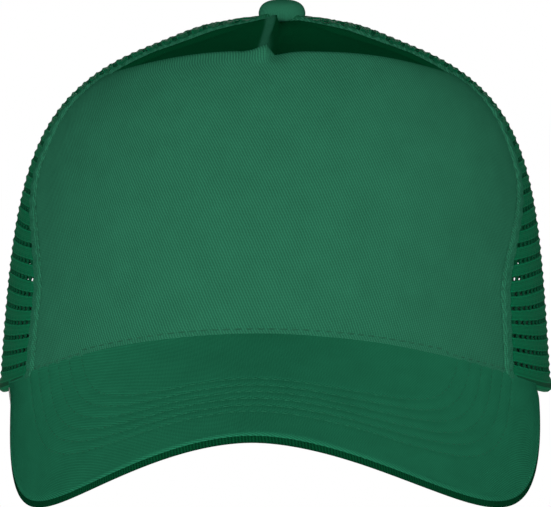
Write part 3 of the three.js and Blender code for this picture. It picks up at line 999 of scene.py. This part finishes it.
def make_seam_tape(name, node, seam, side, low_t, high_t, material, thread_material):
    """A tape over the seam allowances inside the crown, held by two rows of stitches."""
    rows, columns = 110, 15
    t = np.linspace(low_t, high_t, rows)[:, None]
    middle = seam(t)
    centre = crown(middle, t)
    half_angle = 7 / np.hypot(centre[..., 0], centre[..., 1])
    across = np.linspace(-1, 1, columns)[None, :]
    a = side * (middle + half_angle * across)
    t = np.broadcast_to(t, a.shape)
    crowned = 0.25 * (1 - across**4) - 0.2 * bump(np.abs(across) - 0.72, 0.09)
    outer = crown_at(a, t, np.full_like(a, -2.45))
    inner = crown_at(a, t, -2.85 - crowned)
    tape = shell(name, outer, inner, cloth_uv(inner), material, 60)
    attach(tape, "crown")
    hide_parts(node)
    normals = -crown_normal(a, t)
    lines = [(inner[:, column], normals[:, column]) for column in (2, columns - 3)]
    stitch_rows(f"{name}_stitching", lines, 3.2, 2.3, 0.17, thread_material)


def make_net_topstitching(thread_material):
    """Stitches beside the mesh seams, on the outside of the crown."""
    lines = []
    for seam, low_t, count in ((SIDE_SEAM, 0.02, 260), (-SIDE_SEAM, 0.02, 260), (math.pi, 0.36, 200)):
        t = np.linspace(low_t, 0.93, count)
        centre = crown(np.full_like(t, seam), t)
        for distance in (-1.5, 1.5):
            a = seam + distance / np.hypot(centre[:, 0], centre[:, 1])
            lines.append((crown_at(a, t, -0.35), crown_normal(a, t)))
    stitch_rows("net_topstitching", lines, 3.0, 2.2, 0.19, thread_material)


def arch_place(phi, reach, depth):
    x = (OPENING_HALF + reach) * power(np.sin(phi), 2 / ARCH_POWER)
    z = (OPENING_HEIGHT + reach) * power(np.abs(np.cos(phi)), 2 / ARCH_POWER)
    sign = np.where(phi >= 0, 1.0, -1.0)
    a = sign * back_angle(np.maximum(np.abs(x), 1e-3))
    t = t_at_height(a, z)
    return crown_at(a, t, depth), crown_normal(a, t)


# The binding's section as (reach from the opening's edge, depth below the crown surface).
BINDING_SECTION = (
    (6.0, 0.45), (5.6, 0.62), (4.9, 0.6), (4.5, 0.42), (4.1, 0.62), (2.4, 0.78), (0.6, 0.74),
    (-0.4, 0.5), (-0.85, 0.0), (-0.95, -0.6), (-0.85, -1.2), (-0.4, -1.7), (0.6, -1.92),
    (2.4, -1.95), (4.1, -1.8), (4.5, -1.62), (4.9, -1.8), (5.6, -1.82), (6.0, -1.65),
    (6.0, -1.35), (3.0, -1.4), (0.4, -1.4), (-0.25, -1.0), (-0.4, -0.6), (-0.25, -0.1),
    (0.4, 0.15), (3.0, 0.2), (6.0, 0.15),
)


def make_binding(material, thread_material):
    """Tape folded over the edge of the rear opening and stitched through."""
    steps = 220
    phi = np.linspace(-math.pi / 2, math.pi / 2, steps)
    phi = np.where(np.abs(phi) < 1e-4, 1e-4, phi)
    grid = np.stack([arch_place(phi, r, np.full_like(phi, d))[0] for r, d in BINDING_SECTION], 1)
    count = len(BINDING_SECTION)
    faces = grid_faces(steps, count, wrap=True)
    faces.append(tuple(range(count)))
    faces.append(tuple((steps - 1) * count + n for n in range(count)))
    section = np.array([*BINDING_SECTION, BINDING_SECTION[0]])
    u = lengths(section)[:-1]
    v = lengths(grid[:, 2])
    uv = np.stack(np.broadcast_arrays(u[None, :], v[:, None]), -1).reshape(-1, 2)
    binding = finish_mesh("binding_tape", grid.reshape(-1, 3), faces, uv, material, 55)
    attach(binding, "crown")
    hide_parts("rear_opening_binding")
    lines = []
    for depth, sign in ((0.46, 1), (-1.66, -1)):
        points, normals = arch_place(phi, 4.5, np.full_like(phi, depth))
        lines.append((points, sign * normals))
    stitch_rows("binding_stitching", lines, 3.0, 2.2, 0.18, thread_material)


BAND_HEIGHT = 30
BAND_FROM_RIM = 0.6


def make_sweatband(material, thread_material):
    """Folded cotton band round the inside of the rim, softly filled."""
    columns, rows = 420, 26
    end = float(back_angle(OPENING_HALF + 2.5))
    a = np.broadcast_to(np.linspace(-end, end, columns)[None, :], (rows, columns))
    v = np.linspace(0, 1, rows)[:, None]
    rim = crown(a, np.zeros_like(a))[..., 2]
    t = t_at_height(a, rim + BAND_FROM_RIM + BAND_HEIGHT * v)
    edge = np.minimum(v, 1 - v) * BAND_HEIGHT
    full = np.sqrt(np.clip(1 - (1 - np.minimum(edge / 1.6, 1)) ** 2, 0.02, 1))
    seam = 0.35 * bump(np.abs(v * BAND_HEIGHT - 3), 0.7) + 0.35 * bump(BAND_HEIGHT * (1 - v) - 3, 0.7)
    pucker = 0.16 * np.sin(a * 61) * np.sin(a * 17 + 1) * np.sin(math.pi * v)
    inner = crown_at(a, t, -5.2 - 0.95 * full + seam + pucker)
    outer = crown_at(a, t, -5.2 + 0.65 * full)
    band = shell("sweatband_cloth", outer, inner, cloth_uv(inner), material, 60)
    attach(band, "crown")
    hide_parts("sweatband")
    normals = -crown_normal(a, t)
    lines = []
    for height in (3, BAND_HEIGHT - 3):
        row = round(height / BAND_HEIGHT * (rows - 1))
        lines.append((inner[row], normals[row]))
    stitch_rows("sweatband_stitching", lines, 3.2, 2.3, 0.17, thread_material)


def make_label(material, thread_material):
    """A blank woven label sewn to the sweatband."""
    rows, columns = 30, 26
    a = np.radians(np.linspace(128, 138, columns))[None, :]
    z = np.linspace(4, 26, rows)[:, None]
    a, z = np.broadcast_arrays(a, z)
    t = t_at_height(a, z)
    u = np.linspace(-1, 1, columns)[None, :]
    v = np.linspace(-1, 1, rows)[:, None]
    lift = 0.25 * (1 - u**6) * (1 - v**6)
    outer = crown_at(a, t, np.full_like(a, -6.22))
    inner = crown_at(a, t, -6.45 - lift)
    label = shell("size_label_cloth", outer, inner, cloth_uv(inner), material, 60)
    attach(label, "crown")
    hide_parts("size_label")
    normals = -crown_normal(a, t)
    lines = [(inner[:, k], normals[:, k]) for k in (1, columns - 2)]
    stitch_rows("label_stitching", lines, 2.4, 1.7, 0.14, thread_material)


# ---- brim ------------------------------------------------------------------------------------

BRIM_CORNER = crown(BRIM_END, 0.0)
ROOT_TUCK = 1.1  # how far the covers' inner edge goes under the front panel's hem
COVER_LIFT = 1.6  # each cover's face from the brim's middle surface
TOP_WRAP = 50  # degrees of the edge's roll that the top cover goes round
UNDER_WRAP = 125  # and the under cover, which comes up to meet it
STITCH_INSETS = (15.5, 20, 24.5, 29, 33.5, 38)  # rows of stitching, from the outer edge


def brim_surface(u, k):
    """The brim's middle surface: u runs from end to end, k from the crown to the outer edge."""
    inner = crown_at(BRIM_END * u, np.zeros_like(u), np.full_like(u, 0.4))
    ends = np.abs(u) ** BRIM_END_BLEND
    across = power(np.sin(u * math.pi / 2), 0.9)
    along = (1 - np.abs(across) ** BRIM_SIDE_POWER) ** (1 / BRIM_FRONT_POWER)
    width = mix(BRIM_HALF_WIDTH, BRIM_CORNER[0], ends) * across
    y = BRIM_CORNER[1] - (HALF_LENGTH + BRIM_LENGTH + BRIM_CORNER[1]) * along
    centre_z = FRONT_RISE - BRIM_SAG + (y + HALF_LENGTH) * math.tan(BRIM_SLOPE)
    share = width / BRIM_HALF_WIDTH
    z = mix(centre_z - BRIM_DROP * np.abs(share) ** BRIM_DROP_POWER, BRIM_CORNER[2], ends)
    outer = np.stack((width + SKEW * (1 - share**2), y, z), -1)
    return mix(inner, outer, k[..., None])


def nearest(points, line):
    """Each point's distance to a line of points."""
    flat = points.reshape(-1, 3)
    found = np.full(len(flat), np.inf)
    for start in range(0, len(line), 50):
        part = line[start : start + 50]
        distance = np.linalg.norm(flat[:, None] - part[None], axis=-1).min(axis=1)
        found = np.minimum(found, distance)
    return found.reshape(points.shape[:-1])


def grid_normals(points):
    along = np.gradient(points, axis=0)
    across = np.gradient(points, axis=1)
    return unit(np.cross(across, along))


def brim_width(u):
    far, near = brim_surface(u, np.ones_like(u)), brim_surface(u, np.zeros_like(u))
    return np.linalg.norm(far - near, axis=-1)


def brim_rows(u, flat_rows, edge_rows, last_angle):
    """Shares of the way out, and heights, down one side of the brim and round its edge."""
    width = brim_width(u)
    shares, lifts = [], []
    for v in np.linspace(0, 1, flat_rows):
        shares.append(v * (1 - COVER_LIFT / width) if v > 0 else -ROOT_TUCK / width)
        lifts.append(np.full_like(u, COVER_LIFT))
    for v in np.linspace(0, 1, edge_rows + 1)[1:]:
        angle = v * math.radians(last_angle)
        shares.append(1 - COVER_LIFT * (1 - math.sin(angle)) / width)
        lifts.append(np.full_like(u, COVER_LIFT * math.cos(angle)))
    return np.array(shares), np.array(lifts)


def make_brim_cover(side, material, thread_material):
    """One twill cover of the brim, turned round the board's edge: side 1 is the top one."""
    columns, flat_rows, edge_rows = 420, 72, 10
    u = BRIM_USED * np.sin(np.linspace(-1, 1, columns) * math.pi / 2)
    shares, lifts = brim_rows(u, flat_rows, edge_rows, TOP_WRAP if side > 0 else UNDER_WRAP)
    u_grid = np.broadcast_to(u, shares.shape)
    middle = brim_surface(u_grid, shares)
    rim = brim_surface(np.linspace(-1, 1, 700), np.ones(700))
    inset = nearest(middle, rim)
    relief = np.zeros_like(inset)
    for wanted in STITCH_INSETS:
        relief -= 0.17 * bump(inset - wanted, 0.5)
    quilted = smooth((inset - 13) / 3) * (1 - smooth((inset - 38) / 3))
    relief += 0.045 * quilted * np.cos(2 * math.pi * (inset - STITCH_INSETS[0] - 2.25) / 4.5)
    round_edge = smooth((np.arange(len(shares)) - flat_rows + 2) / 4)[:, None]
    x, y = middle[..., 0], middle[..., 1]
    relief += 0.12 * np.sin(x / 9 + y / 14) * np.sin(y / 7 + 1) * (1 - round_edge)
    points = middle.copy()
    points[..., 2] += side * lifts
    normals = grid_normals(points)
    normals *= np.sign(normals[flat_rows // 2, columns // 2, 2]) * side
    outer = points + normals * relief[..., None]
    squeeze = (COVER_LIFT - 0.6) / COVER_LIFT
    inner = brim_surface(u_grid, np.minimum(shares, 1 - 0.6 / brim_width(u)))
    inner[..., 2] += side * lifts * squeeze
    name = "brim_top_cloth" if side > 0 else "brim_under_cloth"
    cover = shell(name, outer, inner, cloth_uv(outer), material, 70)
    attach(cover, "crown")
    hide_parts("brim_top_cover" if side > 0 else "brim_under_cover")

    lines = []
    for wanted in STITCH_INSETS:
        flat = inset[:flat_rows]
        meets = np.flatnonzero((flat[0] > wanted) & (flat[-1] < wanted))
        rows_at = np.array([np.interp(-wanted, -flat[:, i], np.arange(flat_rows)) for i in meets])
        low = np.clip(rows_at.astype(int), 0, flat_rows - 2)
        share = (rows_at - low)[:, None]
        line = mix(outer[low, meets], outer[low + 1, meets], share)
        lines.append((line, normals[low, meets]))
    stitches = "brim_top_stitching" if side > 0 else "brim_under_stitching"
    stitch_rows(stitches, lines, 3.1, 2.3, 0.14, thread_material)


def brim_board_material():
    """Moulded polyethylene board: milky, with faint flow marks."""
    s = Shader("brim_board_plastic", 0.5, specular=0.4)
    flow = s.noise(s.place(), 60, 3)
    s.colour(s.ramp(flow, (0.3, srgb(214, 214, 208)), (0.7, srgb(232, 232, 226))))
    s.roughness(s.math("MULTIPLY_ADD", flow, 0.2, 0.4))
    s.relief(flow, 0.05)
    return s.material


def repaint(node, material):
    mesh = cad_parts[node].data
    mesh.materials.clear()
    mesh.materials.append(material)


# ---- snap straps -----------------------------------------------------------------------------


def strap_place(arc, z, offset):
    """A point on the straps' cylinder; arc runs from the centre back towards +X."""
    angle = arc / STRAP_RADIUS
    radius = STRAP_RADIUS + offset
    x = radius * np.sin(angle)
    y = STRAP_CENTRE_Y + radius * np.cos(angle)
    return np.stack(np.broadcast_arrays(x, y, z), -1)


def snap_arc(side, n):
    return side * (n * SNAP_PITCH - FIRST_SNAP_ARC)


def strap_body(side, lift):
    """Faces of one strap from the end of its sewn tab to its round tip."""
    length = TAB_END_ARC + STRAP_TIP_ARC
    rows = 31
    tip = np.sin(np.linspace(0, 1, 41)[1:] * math.pi / 2)  # columns close up towards the round tip
    share = np.concatenate((np.linspace(0, 0.86, 110), 0.86 + 0.14 * tip))
    from_end = length * share[None, :]
    to_tip = length - from_end
    reach = np.minimum(to_tip / STRAP_HALF_HEIGHT, 1)
    half = STRAP_HALF_HEIGHT * np.maximum(np.sqrt(1 - (1 - reach) ** 2), 0.08)
    sewn = np.minimum(from_end / 2.5, 1)
    half = half * np.maximum(np.sqrt(1 - (1 - sewn) ** 2), 0.75)
    v = np.sin(np.linspace(-1, 1, rows) * math.pi / 2)[:, None]
    z = STRAP_MID_Z + half * v
    arc = np.broadcast_to(side * (TAB_END_ARC - from_end), z.shape)
    from_hinge = HINGE_ARC - (TAB_END_ARC - from_end)
    raised = lift * smooth(from_hinge / RAISE_LENGTH)
    inward = np.minimum(half * (1 - np.abs(v)), to_tip)
    round_off = 0.35 * (1 - np.sqrt(np.clip(1 - (1 - np.minimum(inward / 0.7, 1)) ** 2, 0, 1)))
    frame_rim = -0.12 * smooth((inward - 1.3) / 0.4)
    collars = np.zeros_like(z)
    for n in range(SNAP_COUNT):
        distance = np.hypot(arc - snap_arc(side, n), z - STRAP_MID_Z)
        collars = np.maximum(collars, 0.12 * (1 - smooth((distance - 3.5) / 0.35)))
    relief = frame_rim + collars - round_off
    outer = strap_place(arc, z, -STRAP_DEPTH + raised + relief)
    inner = strap_place(arc, z, -STRAP_DEPTH + raised - STRAP_THICK + round_off)
    uv = np.stack((arc, z), -1).reshape(-1, 2)
    return outer, inner, uv


def turned_points(profile, segments):
    angle = np.arange(segments) * 2 * math.pi / segments
    made = [(r * math.cos(k), r * math.sin(k), h) for r, h in profile for k in angle]
    return np.array(made)


def pin(arc, foot, profile, segments=40):
    """A turned pin standing on a strap: its profile is (radius, height above its foot)."""
    points = turned_points(profile, segments)
    centre = strap_place(arc, STRAP_MID_Z, foot)
    angle = arc / STRAP_RADIUS
    out = np.array([math.sin(angle), math.cos(angle), 0])
    side = np.array([math.cos(angle), -math.sin(angle), 0])
    up = np.array([0, 0, 1])
    placed = centre + points[:, [0]] * side + points[:, [1]] * up + points[:, [2]] * out
    count = len(profile)
    faces = grid_faces(count, segments, wrap=True)
    faces.append(tuple(range(segments)))
    faces.append(tuple((count - 1) * segments + n for n in range(segments)))
    return placed, faces


HOLE_PROFILE = (
    (HOLE_RADIUS + 0.5, -2.6), (HOLE_RADIUS + 0.5, -0.62), (HOLE_RADIUS + 0.16, -0.52),
    (HOLE_RADIUS, -0.34), (HOLE_RADIUS, 0.34), (HOLE_RADIUS + 0.16, 0.52),
    (HOLE_RADIUS + 0.5, 0.62), (HOLE_RADIUS + 0.5, 2.6),
)
STUD_PROFILE = (
    (1.75, -0.35), (1.65, 0.1), (1.55, 0.6), (1.55, 1.75), (1.8, 1.9), (1.98, 2.08), (2.0, 2.2),
    (1.85, 2.36), (1.3, 2.46), (0.02, 2.48),
)


def cut_holes(obj, side):
    """Cuts the snap holes, with softened edges."""
    points, faces = [], []
    for n in range(SNAP_COUNT):
        arc = snap_arc(side, n)
        from_hinge = HINGE_ARC - abs(arc) * (1 if arc * side > 0 else -1)
        foot = -STRAP_DEPTH - STRAP_THICK / 2 + OUTER_LIFT * float(smooth(from_hinge / RAISE_LENGTH))
        made, made_faces = pin(arc, foot, HOLE_PROFILE)
        start = sum(len(p) for p in points)
        points.append(made)
        faces += [tuple(start + k for k in face) for face in made_faces]
    cutter = finish_mesh("snap_hole_cutter", np.concatenate(points), faces, None, obj.data.materials[0])
    modifier = obj.modifiers.new("holes", "BOOLEAN")
    modifier.operation = "DIFFERENCE"
    modifier.object = cutter
    modifier.solver = "EXACT"
    cut = bpy.data.meshes.new_from_object(obj.evaluated_get(bpy.context.evaluated_depsgraph_get()))
    obj.modifiers.clear()
    obj.data = cut
    bpy.data.objects.remove(cutter)
    cut.polygons.foreach_set("use_smooth", [True] * len(cut.polygons))
    cut.set_sharp_from_angle(angle=math.radians(35))


def make_strap(name, side, lift, holes, nodes, material):
    outer, inner, uv = strap_body(side, lift)
    if holes:
        strap = shell(name, outer, inner, uv, material, 40)
        cut_holes(strap, side)
    else:
        faces = shell_faces(*outer.shape[:2])
        points = [outer.reshape(-1, 3), inner.reshape(-1, 3)]
        uvs = [uv, uv]
        start = 2 * len(uv)
        for n in range(SNAP_COUNT):
            made, made_faces = pin(snap_arc(side, n), -STRAP_DEPTH, STUD_PROFILE)
            faces += [tuple(start + k for k in face) for face in made_faces]
            points.append(made)
            uvs.append(made[:, [0, 2]])
            start += len(made)
        strap = finish_mesh(name, np.concatenate(points), faces, np.concatenate(uvs), material, 40)
    start = strap_place(side * (HINGE_ARC + BLEND_HALF), STRAP_MID_Z, -STRAP_DEPTH)
    end = strap_place(side * (HINGE_ARC - BLEND_HALF), STRAP_MID_Z, -STRAP_DEPTH)
    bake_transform(strap)
    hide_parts(*nodes)


def strap_material():
    """Semi-gloss moulded plastic with a fine spark-eroded grain."""
    colour = srgb(24, 84, 58)
    s = Shader("strap_plastic", 0.38, specular=0.5)
    grain = s.noise(s.place(), 1500, 3, 0.6)
    flow = s.noise(s.place(), 45, 2)
    shade = s.math("MULTIPLY_ADD", flow, 0.6, s.math("MULTIPLY", grain, 0.4))
    s.colour(s.ramp(shade, (0.3, tone(colour, 0.9)), (0.7, tone(colour, 1.1))))
    s.roughness(s.math("MULTIPLY_ADD", grain, 0.2, 0.28))
    s.relief(grain, 0.015)
    return s.material


def make_straps(material):
    hole_nodes = ("hole_strap_tab", "hole_strap")
    stud_nodes = ("stud_strap_tab", "stud_strap")
    make_strap("snap_strap_holes", 1, OUTER_LIFT, True, hole_nodes, material)
    make_strap("snap_strap_studs", -1, 0, False, stud_nodes, material)


# ---- top button ------------------------------------------------------------------------------

# Radius and height of the covered button's outline, from the top down to the turned-in hem.
BUTTON_OUTLINE = (
    (0, 4.55), (2.2, 4.45), (4.3, 4.05), (5.9, 3.3), (7.0, 2.1),
    (7.5, 0.7), (7.45, -0.6), (6.9, -1.6), (5.9, -2.0),
)


def smooth_outline(points, count):
    """A round line through these points."""
    p = np.array(points, float)
    position = np.linspace(0, len(p) - 1, count)
    n = np.clip(position.astype(int), 0, len(p) - 2)
    share = (position - n)[:, None]
    before, after = p[np.maximum(n - 1, 0)], p[np.minimum(n + 2, len(p) - 1)]
    start, end = p[n], p[n + 1]
    square, cube = share**2, share**3
    return 0.5 * (
        2 * start + (end - before) * share
        + (2 * before - 5 * start + 4 * end - after) * square
        + (3 * start - before - 3 * end + after) * cube
    )


def button_place(points):
    """From the button's own axes to the cap's."""
    c, s = math.cos(BUTTON_TILT), math.sin(BUTTON_TILT)
    x, y, z = (points[..., k] for k in range(3))
    turned = np.stack((x, y * c - z * s, y * s + z * c), -1)
    return turned + crown(0.0, 1.0) + np.array([0, 0, BUTTON_LIFT])


def turned_piece(name, outline, inset, pleats, material, node, segments=96):
    """A thin turned shell, or a solid one if inset is 0, with pleats gathered towards its hem."""
    line = smooth_outline(outline, 40) if pleats else np.array(outline, float)
    angle = np.arange(segments) * 2 * math.pi / segments
    layers = []
    down = np.linspace(0, 1, len(line))
    for depth in (0, inset) if inset else (0,):
        ripple = pleats * smooth((down - 0.55) / 0.45)[:, None] * np.cos(14 * angle)[None, :]
        radius = np.maximum(line[:, [0]] - depth * smooth(line[:, [0]] / 2), 0.02) + ripple
        height = np.broadcast_to(line[:, [1]] - depth * (1 - down[:, None] * 0.9), radius.shape)
        layers.append(np.stack((radius * np.cos(angle), radius * np.sin(angle), height), -1))
    rows = len(line)
    points = np.concatenate([button_place(layer).reshape(-1, 3) for layer in layers])
    faces = grid_faces(rows, segments, wrap=True)
    count = rows * segments
    faces.append(tuple(range(segments)))
    if inset:
        faces += grid_faces(rows, segments, count, flip=True, wrap=True)
        faces.append(tuple(count + n for n in range(segments)))
        last = (rows - 1) * segments
        for n in range(segments):
            m = (n + 1) % segments
            faces.append((last + n, last + count + n, last + count + m, last + m))
    else:
        faces.append(tuple((rows - 1) * segments + n for n in range(segments)))
    flat = np.concatenate([layer.reshape(-1, 3)[:, :2] for layer in layers])
    obj = finish_mesh(name, points, faces, flat, material, 40)
    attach(obj, "crown")
    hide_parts(node)


def button_metal():
    """Zinc-plated steel with a fine brushed grain."""
    s = Shader("button_metal", 0.35, metallic=1.0)
    grain = s.noise(s.place(), 900, 3, 0.6)
    s.colour(s.ramp(grain, (0.3, srgb(150, 152, 154)), (0.7, srgb(196, 198, 200))))
    s.roughness(s.math("MULTIPLY_ADD", grain, 0.25, 0.25))
    s.relief(grain, 0.02)
    return s.material


def make_button(cloth, metal):
    turned_piece("button_cloth", BUTTON_OUTLINE, 0.5, 0.16, cloth, "button_cover")
    shell_line = ((0, 3.2), (2.7, 3.05), (4.7, 2.45), (6, 1.4), (6.5, 0.3), (6.4, -0.2))
    turned_piece(
        "button_cup", smooth_outline(shell_line, 24), 0.6, 0, metal, "button_shell"
    )
    rivet = ((0.02, 2.3), (1.6, 2.3), (1.6, -3.8), (1.8, -4.0), (2.6, -4.05), (2.8, -4.2),
             (2.8, -4.4), (2.6, -4.5), (0.02, -4.5))
    turned_piece("button_rivet", rivet, 0, 0, metal, "button_post", 48)
    repaint("button_washer", metal)


# ---- stage and assembly ----------------------------------------------------------------------


def stage_material(name, colour, strength):
    """Pale matt paper that the camera sees evenly lit, and not at all from below."""
    material = bpy.data.materials.new(name)
    material.use_nodes = True
    tree = material.node_tree
    tree.nodes.clear()
    paper = tree.nodes.new("ShaderNodeBsdfDiffuse")
    paper.inputs["Color"].default_value = colour
    glow = tree.nodes.new("ShaderNodeEmission")
    glow.inputs["Strength"].default_value = strength
    seen = tree.nodes.new("ShaderNodeLightPath")
    both = tree.nodes.new("ShaderNodeMixShader")
    out = tree.nodes.new("ShaderNodeOutputMaterial")
    tree.links.new(seen.outputs["Is Camera Ray"], both.inputs[0])
    tree.links.new(paper.outputs[0], both.inputs[1])
    tree.links.new(glow.outputs[0], both.inputs[2])
    clear = tree.nodes.new("ShaderNodeBsdfTransparent")
    facing = tree.nodes.new("ShaderNodeNewGeometry")
    one_sided = tree.nodes.new("ShaderNodeMixShader")
    hidden = tree.nodes.new("ShaderNodeMath")
    hidden.operation = "MAXIMUM"
    tree.links.new(facing.outputs["Backfacing"], hidden.inputs[0])
    tree.links.new(seen.outputs["Is Shadow Ray"], hidden.inputs[1])
    tree.links.new(hidden.outputs[0], one_sided.inputs[0])
    tree.links.new(both.outputs[0], one_sided.inputs[1])
    tree.links.new(clear.outputs[0], one_sided.inputs[2])
    tree.links.new(one_sided.outputs[0], out.inputs["Surface"])
    return material


def make_floor():
    size = 6
    mesh = bpy.data.meshes.new("floor")
    corners = [(-size, -size), (size, -size), (size, size), (-size, size)]
    mesh.from_pydata([(x, y, FLOOR_HEIGHT) for x, y in corners], [], [(0, 1, 2, 3)])
    mesh.materials.append(stage_material("pale_paper", (0.8, 0.8, 0.8, 1), 1.0))
    link(bpy.data.objects.new("floor", mesh))


def make_world():
    """A white studio to the camera, with a faint even light on the object."""
    world = bpy.data.worlds.new("studio")
    world.use_nodes = True
    tree = world.node_tree
    tree.nodes.clear()
    fill = tree.nodes.new("ShaderNodeBackground")
    fill.inputs["Strength"].default_value = 0.12
    white = tree.nodes.new("ShaderNodeBackground")
    seen = tree.nodes.new("ShaderNodeLightPath")
    both = tree.nodes.new("ShaderNodeMixShader")
    out = tree.nodes.new("ShaderNodeOutputWorld")
    for background in (fill, white):
        background.inputs["Color"].default_value = (1, 1, 1, 1)
    tree.links.new(seen.outputs["Is Camera Ray"], both.inputs[0])
    tree.links.new(fill.outputs[0], both.inputs[1])
    tree.links.new(white.outputs[0], both.inputs[2])
    tree.links.new(both.outputs[0], out.inputs["Surface"])
    bpy.context.scene.world = world


make_camera()
bpy.context.scene.view_settings.view_transform = "Standard"
make_world()
make_floor()
area_light("key", -2, 8, 2.2, 1.1, 36)
for SIDE_WORD, SIDE_AZIMUTH in (("left", 105), ("right", -105)):
    area_light(f"side_{SIDE_WORD}", SIDE_AZIMUTH, 9, 2.2, 1.1, 8)
area_light("back", 180, 9, 2.2, 1.1, 16)
area_light("below", 180, -60, 1.6, 1.0, 10)

FRONT_THREAD = thread("front_thread", tone(FRONT_GREEN, 0.9))
FRONT_CLOTH = twill("front_twill", FRONT_GREEN, 28, depth=0.08, contrast=0.42, shaded=True)
make_front_panel(FRONT_CLOTH, FRONT_THREAD)
make_nets(net_material())
BRIM_THREAD = thread("brim_thread", tone(BRIM_GREEN_PAINTED_LIGHT, 0.9))
BRIM_CLOTH = twill("brim_twill", BRIM_GREEN_PAINTED_LIGHT, -66, depth=0.09, contrast=0.4)
make_brim_cover(1, BRIM_CLOTH, BRIM_THREAD)
UNDER_CLOTH = twill("brim_under_twill", UNDER_GREEN_PAINTED_SHADE, 8, pitch=0.95, depth=0.12, contrast=0.6)
UNDER_THREAD = thread("brim_under_thread", tone(UNDER_GREEN_PAINTED_SHADE, 1.3))
make_brim_cover(-1, UNDER_CLOTH, UNDER_THREAD)
repaint("brim_board", brim_board_material())
make_straps(strap_material())
TAPE = woven_tape("seam_tape_cotton", TAPE_GREEN)
TAPE_THREAD = thread("tape_thread", tone(TAPE_GREEN, 1.1))
for WORD, SIDE_SIGN in (("left", 1), ("right", -1)):
    make_seam_tape(
        f"front_tape_{WORD}", f"front_seam_tape_{WORD}", front_seam, SIDE_SIGN, 0.03, 0.9, TAPE,
        TAPE_THREAD,
    )
    make_seam_tape(
        f"side_tape_{WORD}", f"side_seam_tape_{WORD}", side_seam, SIDE_SIGN, 0.02, 0.9, TAPE,
        TAPE_THREAD,
    )
make_seam_tape("back_tape", "centre_back_tape", back_seam, 1, 0.38, 0.9, TAPE, TAPE_THREAD)
make_net_topstitching(TAPE_THREAD)
make_binding(woven_tape("binding_cotton", TAPE_GREEN), TAPE_THREAD)
make_sweatband(band_material(), TAPE_THREAD)
make_label(label_material(), thread("label_thread", srgb(230, 230, 225)))
make_backing(buckram_material())
make_button(twill("button_twill", FRONT_GREEN, 28, pitch=0.5, depth=0.03, contrast=0.14), button_metal())
